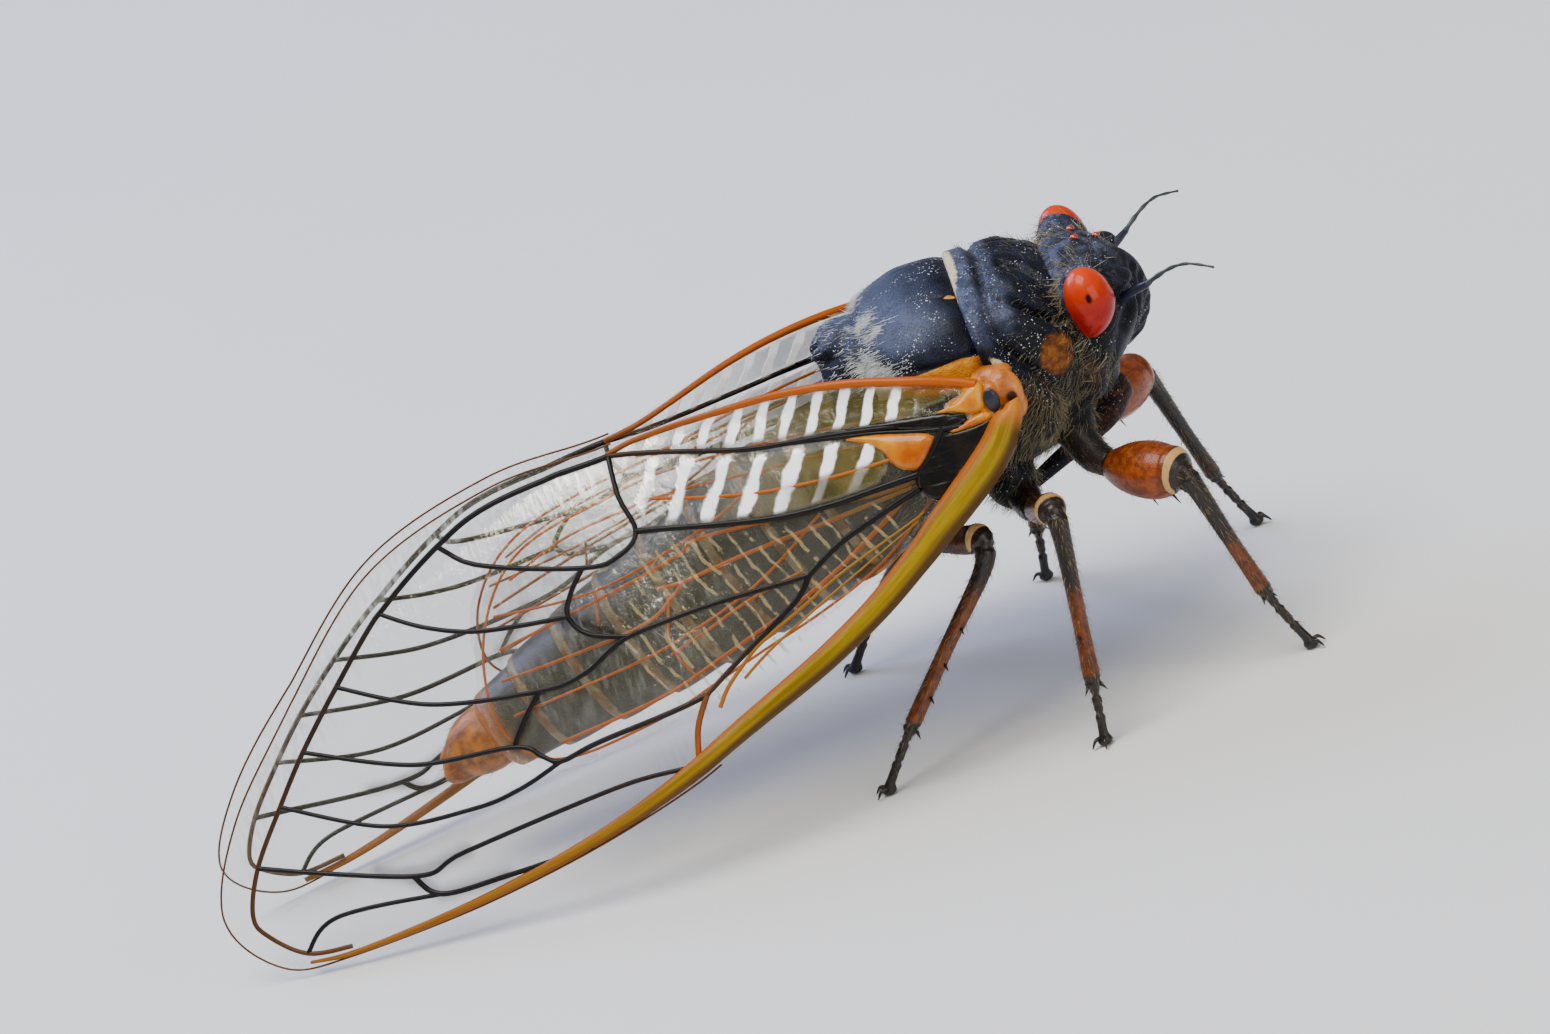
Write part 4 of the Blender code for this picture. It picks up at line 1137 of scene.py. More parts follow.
def film_mesh(plan, inward, lift, marks, thickness=0.035):
    """A closed sheet on the wing's surface, with its markings on both faces."""
    spots, triangles = plan
    outer = on_wing(spots, inward, lift + thickness / 2)[0]
    inner = on_wing(spots, inward, lift - thickness / 2)[0]
    count = len(spots)
    faces = [tuple(t) for t in triangles] + [tuple(k + count for k in reversed(t)) for t in triangles]
    sides = {(a, b) for t in triangles for a, b in zip(t, t[1:] + t[:1])}
    faces += [(b, a, a + count, b + count) for a, b in sides if (b, a) not in sides]
    mesh = bpy.data.meshes.new("film")
    mesh.from_pydata(np.vstack((outer, inner)).tolist(), [], faces)
    outward(mesh)
    paint(mesh, **{name: np.tile(values, 2) for name, values in marks.items()})
    return mesh


fore_plan = film_plan(FORE_EDGE, 0.19)
hind_plan = film_plan(HIND_EDGE, 0.32)
print("film points:", len(fore_plan[0]), len(hind_plan[0]))

# %% Folds and dark places of the fore wing
UPPER_CELL = (
    (-1.9, 0.5), (-2, 0.92), (-3, 1.15), (-4, 1.45), (-5.5, 1.75), (-8.5, 1.95), (-11, 1.7),
    (-14, 1.25), (-9.7, 0.62), (-6.4, 0.42), (-4.6, 0.25), (-3.4, 0.3),
)
LOWER_CELL = (
    (-4.7, -0.15), (-6.4, 0.02), (-9.7, 0.28), (-13.9, 0.95), (-14.2, 0), (-14, -0.95),
    (-11.9, -1.45), (-8.3, -1.8), (-5.4, -1.62), (-4.8, -1.2),
)
LADDER = (
    (-4.3, -2.3), (-5.5, -2), (-9, -2.05), (-14, -1.5), (-15.5, -2.5), (-16.5, -4.5), (-15.5, -6.5),
    (-14, -7.4), (-11, -6.5), (-8, -5.2), (-5.5, -3.7),
)
BLACK_CORNER = (
    (-2.55, -0.45), (-2.14, -0.6), (-1.42, -0.64), (-0.64, -0.6), (-0.5, -0.9), (-1.3, -1.25),
    (-2.08, -1.75), (-3.25, -2.58), (-3.85, -2.3), (-3.97, -1.87), (-3.74, -1.47), (-3.03, -0.93),
)
DOUBLE_VEIN = (
    (-7.45, 0.44), (-4.79, 0.33), (-3.26, 0.24), (-2.3, 0.1), (-1.73, -0.12), (-1.48, -0.34),
    (-1.77, -0.46), (-2.21, -0.48), (-2.74, -0.36), (-3.73, -0.12), (-4.84, 0.16),
)
BLOB = (
    (-5.9, 0.06), (-4.86, 0), (-3.99, -0.15), (-3.25, -0.3), (-2.86, -0.56), (-3.12, -0.92),
    (-3.7, -1.42), (-4.25, -1.34), (-4.6, -1.05), (-4.78, -0.62), (-5.15, -0.3),
)
LILAC_GLINT = ((-2.25, 0.3), (-1.3, 0.58), (-1.15, 0.38), (-2.05, 0.1))
GLEAM = (
    (-20.1, -0.8), (-14.5, -1.6), (-11.5, -2.5), (-11.5, -4.1), (-14.1, -6.9), (-19.8, -7.6),
    (-22.2, -5),
)
YELLOW_PLATE = (
    (-2.45, 0.14), (-1.79, 0.28), (-1.32, 0.53), (-0.88, 0.73), (-0.59, 0.62), (-0.6, 0.25),
    (-0.8, -0.22), (-1.26, -0.24), (-1.59, -0.14), (-1.96, 0.02),
)
ORANGE_WASH = ((-4.2, 1.62), (-3.07, 1.46), (-0.9, 0.85), (-1.5, 0.45), (-2.3, 0.6), (-3.2, 0.95))
YELLOW_PRONG = (
    (-1.55, -0.4), (-1.3, -0.33), (-0.87, -0.28), (-0.62, -0.45), (-0.74, -0.62), (-1.18, -0.64),
    (-1.69, -0.64), (-2.2, -0.62), (-2.24, -0.52), (-1.85, -0.47),
)
SMOKY_VEINS = (
    ((-24.2, -9.85), (-26.4, -10.3), (-25.6, -11.1), (-23, -10.95)),
    ((-26.4, -10.3), (-27.6, -9.9)), ((-18, -3.3), (-17.7, -3.1), (-16.2, -4.1)),
    ((-19.6, -5.2), (-21.2, -6.8)),
)
FOLD_HEIGHT = 0.072


def crests(line, pitch, start):
    """1 on the crest of each fold."""
    return np.clip(0.5 + 1.15 * np.cos(2 * math.pi * line / pitch + start), 0, 1)


def within(outline, width, start=0.0):
    """0 outside an outline, rising to 1 over a width inside it."""
    return np.clip(depth_inside(spots, outline) / width + start, 0, 1)


spots = fore_plan[0]
x, z = spots.T
upper, lower, blob = within(UPPER_CELL, 0.10), within(LOWER_CELL, 0.12), within(BLOB, 0.15)
crest = (upper * crests(x - UPPER_SLANT * z, UPPER_PITCH, UPPER_START)
         + lower * crests(x - LOWER_SLANT * z, LOWER_PITCH, LOWER_START))
rim_away = depth_inside(spots, smooth_line(FORE_EDGE, 0.5, closed=True))
# Painted glints along the upper rear edge, over the gleaming patch and on a lilac highlight near the
# root.
painted_glints = np.exp(-((rim_away - 0.7) / 0.7) ** 2) * ramp(z, -10.0, 5.0) * ramp(x, -14.0, -1.5)
painted_glints += 0.55 * within(GLEAM, 1.2) + 1.8 * within(LILAC_GLINT, 0.10)
smoke = sum(np.exp(-(nearest(flat(spots), flat(line))[0] / 0.30) ** 2) for line in SMOKY_VEINS)
fade = 0.25 + 0.75 * ramp(x, -14.6, 2.5)
fore_film = film_mesh(fore_plan, 0.0, FOLD_HEIGHT * crest, {
    "upper": upper * fade * ramp(x, -2.9, -0.5),
    "lower": lower * (1 - blob) * fade * (1 - 0.75 * (ramp(x, -9.5, 2.0) * ramp(z, -0.80, -0.15))),
    "cell": np.clip(upper + lower, 0, 1) * ramp(x, -12.5, 5.0),
    "ladder": within(LADDER, 0.35),
    "dark": np.maximum(within(BLACK_CORNER, 0.08, 0.5), within(DOUBLE_VEIN, 0.05, 0.5)),
    "orange": np.maximum(np.maximum(blob, ramp(x, -1.6, 0.4)), within(ORANGE_WASH, 0.35)),
    "smoke": np.clip(smoke, 0, 1), "painted_glints": painted_glints})
set_pair("fore_wing_film", fore_film, film, "wing", ["forewing"])
none = np.zeros(len(hind_plan[0]))
# The hind film gets a faint painted glint all over.
hind_film = film_mesh(hind_plan, HIND_INWARD, none, {"painted_glints": none + 0.12})
set_pair("hind_wing_film", hind_film, film, "wing", ["hindwing"])

# %% [markdown]
# ## Plates let into the wing root
# Between the shoulder and the striped cells the veins swell into plates: a yellow fork, a
# black spoon, a black corner and an orange swelling. Each is a plump lens: the film's own
# outline method gives its plan, and its thickness rises with the distance from its edge.

# %% Inlaid plates
PLATE_STEP = 0.075


def plump_plate(edge, rise, width):
    """A closed lens on the wing inside an edge drawn in the side view."""
    spots, triangles = film_plan(edge, PLATE_STEP, PLATE_STEP)
    share = ramp(depth_inside(spots, smooth_line(edge, PLATE_STEP, closed=True)), 0.0, width)
    swell = rise * np.sqrt(share * (2 - share))
    return film_mesh((spots, triangles), 0.0, np.zeros(len(spots)), {}, 0.05 + 2 * swell)


made = lacquer = Finish("black_lacquer", 0.35, 0.12, 0.2)
made.feed(Base_Color=made.mix(made.noise(1.5).step(0.4, 0.7),
                              (0.0035, 0.003, 0.003), (0.012, 0.008, 0.005)),
          Roughness=0.22 + made.noise(5.0) * 0.12)
made.relief(made.noise(1.1, 2.0, (0.5, 1.0, 2.5)), 0.10)
made = honey = Finish("honey_plate", 0.4, 0.08, 0.18)
cloud = made.noise(1.1, 3.0).step(0.35, 0.65)
ruddy = made.near((-3.7, 0.0, -0.85), (1.7, 9.0, 1.2), 0.6).over(
    made.near((-1.2, 0.0, -0.55), (1.1, 9.0, 0.26), 0.6))
made.feed(Base_Color=made.mix(ruddy, made.mix(cloud, (0.52, 0.145, 0.001), (0.66, 0.27, 0.002)),
                              made.mix(cloud, (0.34, 0.050, 0.001), (0.50, 0.12, 0.002))),
          Roughness=0.22 + made.noise(4.0) * 0.12)
made.relief(made.noise(2.4, 4.0), 0.05)
for name, edge, rise, width, finish in (
        ("black_corner", BLACK_CORNER, 0.05, 0.20, lacquer),
        ("black_spoon", DOUBLE_VEIN, 0.11, 0.16, lacquer),
        ("orange_swelling", BLOB, 0.26, 0.55, honey), ("yellow_plate", YELLOW_PLATE, 0.24, 0.40, honey),
        ("yellow_prong", YELLOW_PRONG, 0.13, 0.16, honey)):
    set_pair(name, plump_plate(edge, rise, width), finish, "amber")

# %% [markdown]
# ## Veins
# Veins are tubes that run along paths, which is what Curve to Mesh is for. The paths are drawn
# in the side view and lifted onto the wing; each point carries a thickness and a tone, orange
# near the shoulder and black towards the tip. Geometry Nodes turn all of them into tubes at
# once.

# %% Vein finish and recipe
made = vein_finish = Finish("wing_vein", 0.15, 0.2, 0.15)
tone = made.mark("tone") + (made.noise(1.5) - 0.5) * 0.15
made.feed(Base_Color=made.layer((0.27, 0.125, 0.008), (tone.step(-0.35, -0.02), (0.42, 0.085, 0.001)),
                                (tone.step(0.1, 0.5), (0.13, 0.045, 0.007)),
                                (tone.step(0.45, 0.9), (0.006, 0.005, 0.0045))),
          Roughness=0.30 + made.noise(4.0) * 0.15)
made.relief(made.noise(9.0, 3.0), 0.02)
tubes = tube_recipe("vein_tubes", vein_finish)

# %% Paths of the veins
# thickness at the start and at the end, tone at both, and the path
FORE_VEINS = (
    (0.2, 0.1, 0, 0.35, ((-0.8, 0.6), (-2, 1.12), (-3.3, 1.5), (-5, 1.84), (-6.8, 2), (-8.6, 1.98),
     (-11, 1.72), (-14.4, 1.25))),
    (0.1, 0.1, 1, 0.75, ((-1.5, -0.2), (-2.45, -0.08), (-3.9, 0.07), (-6.4, 0.29), (-9.7, 0.5),
     (-14.4, 1.2))),
    (0.09, 0.07, 1, 0.9, ((-1.6, -0.54), (-2.46, -0.4), (-3.24, -0.25), (-4.63, 0), (-6.4, 0.2),
     (-8.4, 0.38))),
    (0.11, 0.1, 1, 1, ((-2.46, -0.37), (-3.2, -1.1), (-3.82, -1.6), (-3.95, -2.05))),
    (0.14, 0.11, 1, 0.95, ((-3.82, -1.6), (-5.7, -1.75), (-7.2, -1.85), (-9.1, -1.82),
     (-11.9, -1.55), (-14.3, -1.15))),
    (0.07, 0.06, -0.2, 0, ((-4.4, -0.9), (-6.5, -1), (-9, -0.95), (-11.5, -0.7), (-13.6, -0.3))),
    (0.1, 0.1, 0.9, 0.9, ((-14.4, 1.2), (-14.5, 0), (-14.3, -1.15), (-15.2, -1.7), (-16.6, -1.75),
     (-20.4, -0.8), (-21.5, 0.1))),
    (0.1, 0.1, 0.9, 0.9, ((-16.6, -1.75), (-17.3, -2.4), (-17.7, -3.1), (-17.2, -3.8),
     (-15.8, -4.2))),
    (0.1, 0.09, 0.9, 1, ((-17.7, -3.1), (-19.6, -3), (-21.4, -2.8), (-23, -2.3), (-24.4, -1.6))),
    (0.14, 0.11, 1, 0.9, ((-3.95, -2.05), (-5.6, -2.55), (-7.3, -3.1), (-8.8, -3.85))),
    (0.11, 0.09, 0.85, 1, ((-8.8, -3.85), (-12.5, -4), (-15.8, -4.2), (-17.8, -5), (-19.6, -5.2),
     (-23.6, -4.8), (-26.8, -3.5))),
    (0.11, 0.1, 0.95, 0.7, ((-8.8, -3.85), (-9.5, -4.5), (-11.2, -5.4), (-13.8, -6.7))),
    (0.12, 0.12, 0.45, 0.25, ((-13.8, -6.7), (-14.5, -7.6), (-14.9, -8.75))),
    (0.09, 0.1, 0.8, 1, ((-14.9, -8.75), (-18, -8.85), (-24.2, -9.85), (-26.4, -10.3),
     (-31.9, -8.8))),
    (0.11, 0.09, 0.8, 1, ((-13.8, -6.7), (-18, -7.25), (-19.7, -7.6), (-20.3, -7.3), (-21.2, -6.8),
     (-25, -6.6), (-28.8, -5.3))),
    (0.09, 0.09, 1, 1, ((-19.6, -5.2), (-20.5, -6), (-21.2, -6.8))),
    (0.09, 0.09, 1, 1, ((-19.7, -7.6), (-21.5, -8.2), (-23.4, -8.5), (-26.8, -8.4), (-30.3, -6.9))),
    (0.11, 0.1, 1, 1, ((-26.4, -10.3), (-25.6, -11.1), (-23, -10.95), (-19.6, -10.6))),
    (0.09, 0.09, 1, 1, ((-25.6, -11.1), (-29.7, -11.1), (-31.2, -12.1))),
    (0.04, 0.08, -0.4, -0.2, ((-4.1, -2.85), (-4.75, -3.1), (-7.57, -4.03), (-9.14, -4.67),
     (-11.26, -5.57), (-12.14, -6.09), (-13, -6.69), (-13.5, -7.21))),
    (0.03, 0.06, -0.4, -0.2, ((-4.4, -3.1), (-5.2, -3.42), (-7.4, -4.3), (-9, -4.95), (-11, -5.85),
     (-12.3, -6.55))),
    (0.09, 0.12, 0.6, 1, ((-29.5, -12.2), (-31.2, -12.1), (-32.4, -11.2), (-32.7, -10.4),
     (-31.9, -8.8), (-30.3, -6.9), (-28.8, -5.3), (-26.8, -3.5), (-24.4, -1.6), (-21.5, 0.1),
     (-19, 0.95), (-14.4, 1.2))),
)
HIND_VEINS = (
    (0.1, 0.07, -0.2, 0.1, ((-2.7, -1.6), (-8, -4.4), (-14, -6.4), (-19.5, -7.4))),
    (0.09, 0.06, -0.3, 0.1, ((-3.2, -2), (-4.9, -2.28), (-7.74, -2.22), (-12.16, -2.26),
     (-13.2, -2.6), (-16.5, -3.2), (-20.6, -4))),
    (0.09, 0.08, -0.3, 0, ((-4.2, -2.35), (-5.9, -2.54), (-8.03, -2.77), (-9.81, -2.95),
     (-12.35, -3.32), (-13.35, -3.45), (-14.3, -3.4))),
    (0.08, 0.05, -0.1, 0.1, ((-13.3, -3.41), (-13.94, -3.83), (-15.5, -4.4), (-20.9, -5))),
    (0.07, 0.05, -0.3, 0.1, ((-9.01, -4.05), (-9.93, -4.23), (-11.29, -4.57), (-13.05, -5.12),
     (-14.6, -5.5))),
    (0.07, 0.05, 0, 0.2, ((-2.9, -0.7), (-9, -0.6), (-16, -0.9), (-19.4, -1.9))),
    (0.06, 0.05, -0.1, 0.1, ((-7.7, -2.4), (-11, -4.2), (-14.5, -5.2), (-20.9, -6.2))),
    (0.06, 0.05, -0.1, 0.1, ((-9, -0.6), (-12, -2), (-16.5, -2.9), (-20.4, -2.9))),
    (0.06, 0.05, -0.1, 0.1, ((-14, -3.7), (-14.5, -5.2), (-14, -6.4))),
    (0.06, 0.05, -0.1, 0.1, ((-16.5, -2.9), (-16.8, -4))),
)


VEIN_LIFT = 0.35             # how far a vein stands out of the film, as a share of its thickness


def lifted(path, thick, tone, inward=0.0, step=0.22):
    """A line of x, y, z, thickness and tone on the wing; both change from end to end."""
    line = smooth_line(path, step)
    share = np.linspace(0, 1, len(line))
    thick, tone = (a + (b - a) * share for a, b in (thick, tone))
    return np.column_stack((on_wing(line, inward, thick * VEIN_LIFT)[0], thick, tone))


hind_rim = [(x + 0.35 * (-12 - x) / 10, z + 0.35 * (-3.5 - z) / 4) for x, z in HIND_EDGE]
rim_line = smooth_line(FORE_EDGE, 0.25, closed=True)
rim_line = rim_line[rim_line[:, 0] < -14.0][::2]
fore_lines = [lifted(path, (a, b), (c, d)) for a, b, c, d, path in FORE_VEINS]
fore_lines.append(lifted(rim_line, (0.04, 0.04), (0.6, 0.6)))
hind_lines = [lifted(path, (a, b), (c, d), HIND_INWARD) for a, b, c, d, path in HIND_VEINS]
hind_lines.append(lifted(hind_rim + hind_rim[:1], (0.055, 0.055), (0.0, 0.0), HIND_INWARD))
set_pair("fore_wing_veins", tubes.grow(wires(fore_lines)), vein_finish, "amber", ["forewing"])
set_pair("hind_wing_veins", tubes.grow(wires(hind_lines), Sides=8), vein_finish, "amber", ["hindwing"])

# %% [markdown]
# ## The leading edge
# The front vein of the fore wing is a broad flattened rod, a yellow-green face between two
# orange edges, with shade painted dark brown beneath it. It is too wide for a round tube, so it is
# lofted: ovals stand across the path, and each point remembers where on the oval it sits for the
# colours.

# %% Leading edge
made = Finish("leading_edge", 0.08, 0.12, 0.14)
belt, out, tone = (made.mark(name) for name in ("belt", "out", "tone"))
girth = made.add("ShaderNodeCombineXYZ", {}, {"X": belt * 2.2, "Y": out * 2.2, "Z": tone * 9.0})
streak = made.noise(1.0, 4.0, vector=girth)
colour = made.layer(
    (0.18, 0.105, 0.0008), (streak.step(0.3, 0.7), (0.34, 0.215, 0.002)),
    ((belt + streak * 0.3).step(0.55, 0.90), (0.36, 0.090, 0.001)),
    # Painted shade: dark brown on the outer edge and the underside of the rod, the side turned away
    # from the light.
    ((belt * -1.0 - out * 0.4 + streak * 0.3).step(0.0, 0.6), (0.075, 0.034, 0.003)),
    (tone.step(0.42, 0.85) * 0.8, (0.27, 0.085, 0.003)),
    (1.0 - tone.step(0.012, 0.045), (0.50, 0.15, 0.010)))
made.feed(Base_Color=colour, Roughness=0.34 + streak * 0.12)
made.relief(streak + made.noise(6.0, 3.0) * 0.4, 0.05)

# x and z of the outer side of the rod in the side view, and its width
ROD = (
    (0.52, -0.2, 0.55), (0.54, -0.6, 0.85), (0.22, -1.25, 1.15), (-0.35, -1.98, 1.28),
    (-1.2, -2.68, 1.34), (-2.3, -3.35, 1.3), (-3.4, -4, 1.2), (-4.6, -4.75, 1.08), (-7, -6.1, 0.98),
    (-10.5, -7.6, 0.88), (-14, -8.85, 0.76), (-17.6, -10.1, 0.58), (-20.8, -11, 0.46),
    (-23.9, -11.7, 0.36), (-27, -12.25, 0.28), (-29.6, -12.55, 0.2), (-31.2, -12.5, 0.12),
)
line = smooth_line(ROD, 0.25)
heading = np.gradient(line[:, :2], axis=0)
heading /= np.linalg.norm(heading, axis=1)[:, None]
inside = np.stack((heading[:, 1], -heading[:, 0]), axis=1)
middle = line[:, :2] + inside * line[:, 2:3] / 2
centre, normal = on_wing(middle)
beyond = on_wing(middle + inside * 0.1)[0] - centre
beyond /= np.linalg.norm(beyond, axis=1)[:, None]
turn = round_turn(28)
half, deep = line[:, 2] / 2, 0.10 + line[:, 2] * 0.36        # half axes of the ovals
loops = (centre[:, None] + beyond[:, None] * (half[:, None] * np.cos(turn))[..., None]
         + normal[:, None] * (deep[:, None] * np.sin(turn))[..., None])
bm = bmesh.new()
add_rings(bm, loops)
rod = Skin(bm)
ends = (0, 0)                # the middle points of the two end caps
paint(rod.mesh, belt=np.append(np.tile(np.cos(turn), len(line)), ends),
      out=np.append(np.tile(np.sin(turn), len(line)), ends),
      tone=np.append(np.repeat(np.linspace(0, 1, len(line)), len(turn)), (0, 1)))
set_pair("leading_edge", rod.mesh, made, "amber", ["forewing"])

# %% [markdown]
# ## Wing hinge
# Where the wing meets the thorax sits a cluster of small hard plates, fleshy pink-orange, with
# a slate-blue oval and a black dot, and a bright yellow plate that carries the rear veins.
# They are lumps again, fused and relaxed, so they flow into each other like soft wax.

# %% Hinge plates
made = Finish("hinge_plate", 0.3, 0.12, 0.18)
yellow = made.mix(made.noise(1.8).step(0.4, 0.6), (0.50, 0.14, 0.001), (0.64, 0.26, 0.002))
colour = made.layer((0.34, 0.085, 0.006), (made.noise(1.3).step(0.35, 0.65), (0.56, 0.19, 0.035)),
                    (made.mark("yellow"), yellow), (made.mark("slate"), (0.018, 0.024, 0.036)),
                    (made.mark("dot"), (0.02, 0.010, 0.008)))
made.feed(Base_Color=colour, Roughness=0.28 + made.noise(3.0) * 0.15)
made.relief(made.noise(4.0, 4.0), 0.05)
rough = bmesh.new()
for lump in (
        ((0.12, 5.15, 0.02), (0.66, 0.55, 0.78)), ((0.42, 5.32, -0.22), (0.36, 0.42, 0.62), 0.2),
        ((0.10, 5.38, -0.75), (0.46, 0.36, 0.50), 0.3), ((-0.40, 5.45, 0.02), (0.34, 0.42, 0.62), 0.15),
        ((-0.80, 5.45, -0.42), (0.48, 0.35, 0.36), 0.4), ((-0.15, 4.55, 0.50), (0.80, 0.55, 0.42)),
        ((-1.00, 5.10, 0.35), (0.42, 0.42, 0.60), -0.3),
        ((-1.55, 5.10, 0.15), (0.65, 0.22, 0.22), -0.1),
        ((-1.20, 4.85, 0.62), (0.70, 0.26, 0.20), 0.30), ((0.20, 4.60, -0.80), (0.60, 0.80, 0.60))):
    add_ellipsoid(rough, *lump)
plates = Skin(rough, voxel=0.06, passes=3)


def spot_mark(centre, radii, size, blur):
    """1 within an ellipsoid of a size, falling to 0 over a blur round it."""
    return 1 - ramp(np.linalg.norm((plates.points - centre) / radii, axis=1), size, blur)


oval = spot_mark((-0.42, 5.75, 0.02), (0.26, 0.6, 0.47), 0.85, 0.2)
paint(plates.mesh, slate=oval, dot=spot_mark((0.30, 5.75, -0.14), (0.22, 0.6, 0.24), 0.8, 0.3),
      yellow=ramp(plates.points[:, 0], -0.68, -0.15))
plates.sculpt(0.10 * oval, grooves=[
    ([(-0.75, 5.9, 0.7), (-0.72, 5.9, 0.0), (-0.60, 5.9, -0.7)], 0.07, 0.10),
    ([(0.0, 5.9, 0.9), (-0.02, 5.9, 0.3), (0.12, 5.9, -0.7)], 0.08, 0.08)])
set_pair("hinge_plates", plates.mesh, made, "amber", ["wing_root"])

# %% [markdown]
# ## Legs
# Each leg is a chain of tubes: a short hairy root, a thigh, a long shin and a three-jointed
# foot with two claws. The front thighs are swollen and spiny, left over from a childhood of
# digging. The chain is fused into one skin with a pinch at each joint, and the markings follow
# the distance along the leg: a cream ring and a dark cap at the knee, orange under the shin.

# %% Leg paths and skins
# x, y, z and radius; the first two places of a thigh are the root of the leg
THIGHS = {
    "front": (
        (1.9, 1.9, -3.35, 0.72), (2.4, 2.6, -4.5, 0.66), (2.85, 3.05, -4.9, 0.52),
        (3.3, 3.55, -5, 0.84), (3.8, 4.1, -5.05, 1.04), (4.4, 4.8, -5.08, 1.08),
        (4.95, 5.35, -5.08, 0.86), (5.3, 5.72, -5.2, 0.5)),
    "middle": (
        (-0.6, 2.6, -4.6, 0.72), (-0.4, 3.8, -5.1, 0.58), (-0.25, 4.4, -5.05, 0.5),
        (0, 5.4, -4.8, 0.56), (0.22, 6.3, -4.5, 0.56), (0.32, 6.75, -4.55, 0.48)),
    "hind": (
        (-4.4, 2.7, -4.6, 0.72), (-3.9, 3.7, -5.1, 0.58), (-3.6, 4.2, -5.15, 0.5),
        (-3.1, 4.8, -5.1, 0.55), (-2.6, 5.45, -5, 0.54), (-2.4, 5.75, -5.15, 0.46)),
}
SHINS = {
    "front": (
        (5.35, 5.78, -5.35, 0.42), (5.55, 5.93, -6.1, 0.36), (6.1, 6.15, -8.4, 0.3),
        (6.6, 6.35, -10.4, 0.34)),
    "middle": (
        (0.33, 6.88, -4.75, 0.42), (0.25, 7.1, -5.6, 0.35), (-0.1, 7.65, -8.2, 0.3),
        (-0.45, 8.2, -10.7, 0.34)),
    "hind": (
        (-2.5, 5.82, -5.4, 0.42), (-3, 5.93, -6.2, 0.34), (-5.1, 6.05, -8.4, 0.29),
        (-7.3, 6.2, -10.8, 0.32)),
}
FEET = {
    "front": (
        (6.6, 6.35, -10.4), (6.9, 6.45, -11.2), (7.2, 6.52, -11.95), (7.55, 6.6, -12.72)),
    "middle": (
        (-0.45, 8.2, -10.7), (-0.53, 8.35, -11.4), (-0.63, 8.47, -12.05), (-0.73, 8.6, -12.72)),
    "hind": (
        (-7.3, 6.2, -10.8), (-7.75, 6.2, -11.35), (-8.25, 6.2, -12), (-8.8, 6.2, -12.72)),
}
FOOT_THICK = 0.21
# share of the shin where it turns orange, warmth of thigh and shin, and fur of the thigh
LOOKS = {"front": (0.45, 1.0, 0.75, 0.10), "middle": (0.36, 0.62, 0.95, 0.3),
         "hind": (0.14, 0.55, 0.95, 0.3)}


def leg_skin(pair):
    """The skin of one left leg with its markings."""
    thigh, shin, foot = THIGHS[pair], SHINS[pair], FEET[pair]
    warm_from, for_thigh, for_shin, thigh_fur = LOOKS[pair]
    rough = bmesh.new()
    for tube in (thigh[:2], thigh[2:], thigh[1:3], shin):
        add_tube(rough, tube)
    for a, b in zip(foot, foot[1:]):
        thin, thick = (*a, FOOT_THICK * 0.85), (*b, FOOT_THICK)
        add_tube(rough, [thin, (*np.add(a, b) / 2, FOOT_THICK * 0.9), thick], sides=14)
    add_ellipsoid(rough, (*foot[-1][:2], -12.80), (0.32, 0.26, 0.20), segments=20)
    leg = Skin(rough, voxel=0.07, passes=3)
    leg.points[:, 2] = np.maximum(leg.points[:, 2], FLOOR)
    lines = [smooth_line([p[:3] for p in part]) for part in (thigh[:3], thigh, shin, foot)]
    root, knee, shin_long, foot_long = (strides(line).sum() for line in lines)
    path = np.vstack(lines[1:])
    place, ankle = nearest(leg.points, path)[1], knee + shin_long
    joints = (root, ankle + 0.15, ankle + foot_long * 0.33, ankle + foot_long * 0.66)
    leg.sculpt(-0.05 * sum(band(place, joint, 0.09) for joint in joints)
               - 0.07 * band(place, knee + 0.05, 0.12) + 0.06 * band(place, knee - 0.42, 0.16))
    on_thigh = ramp(place, root, 0.3) * ramp(place, knee - 0.35, -0.3)
    on_shin = ramp(place, knee + warm_from * shin_long, 1.2) * ramp(place, ankle + 0.1, -0.3)
    under = np.clip(0.5 - leg.normals[:, 2] * 0.5 + 0.35 * leg.normals[:, 1], 0, 1)
    near_end = ramp(place, ankle - 1.2, 0.8) * (place < ankle + 0.15)
    fur = np.where(place < root, 0.8, np.where(place < knee, thigh_fur, 0.75))
    here = np.clip(np.searchsorted(milestones(path), place), 0, len(path) - 1)
    paint(leg.mesh, glow=on_thigh * (pair == "front"),
          warm=on_thigh * for_thigh + on_shin * for_shin * np.clip(under * 1.3 + 0.25 * near_end, 0, 1),
          cream=band(place, knee - 0.36, 0.11), cap=band(place, knee + 0.02, 0.26),
          fur=fur * (place < ankle + foot_long * 0.8), lie=np.gradient(path, axis=0)[here] * 6.0)
    return leg


made = Finish("leg_shell", 0.30, 0.2, 0.28)
mottle = made.noise(3.2, 5.0)
blotch = mottle.step(0.35, 0.7)
colour = made.layer(
    made.mix(mottle, (0.0045, 0.004, 0.004), (0.018, 0.012, 0.008)),
    ((made.mark("warm") + (mottle - 0.5) * 0.55).step(0.25, 0.75),
     made.mix(blotch, (0.070, 0.015, 0.002), (0.17, 0.038, 0.004))),
    (made.mark("glow"), made.mix(blotch, (0.14, 0.024, 0.002), (0.31, 0.062, 0.004))),
    (made.mark("cap") * 0.85, (0.014, 0.007, 0.005)),
    ((made.mark("cream") + (mottle - 0.5) * 0.3).step(0.4, 0.65), (0.52, 0.30, 0.10)))
made.feed(Base_Color=colour, Roughness=0.30 + mottle * 0.18)
made.relief(made.cells(11.0).step(0.05, 0.5) * 0.3 + mottle, 0.04)
legs = {pair: leg_skin(pair) for pair in THIGHS}
for pair, leg in legs.items():
    set_pair("leg_" + pair, leg.mesh, made, "leg", ["femur_" + pair, "tibia_" + pair])

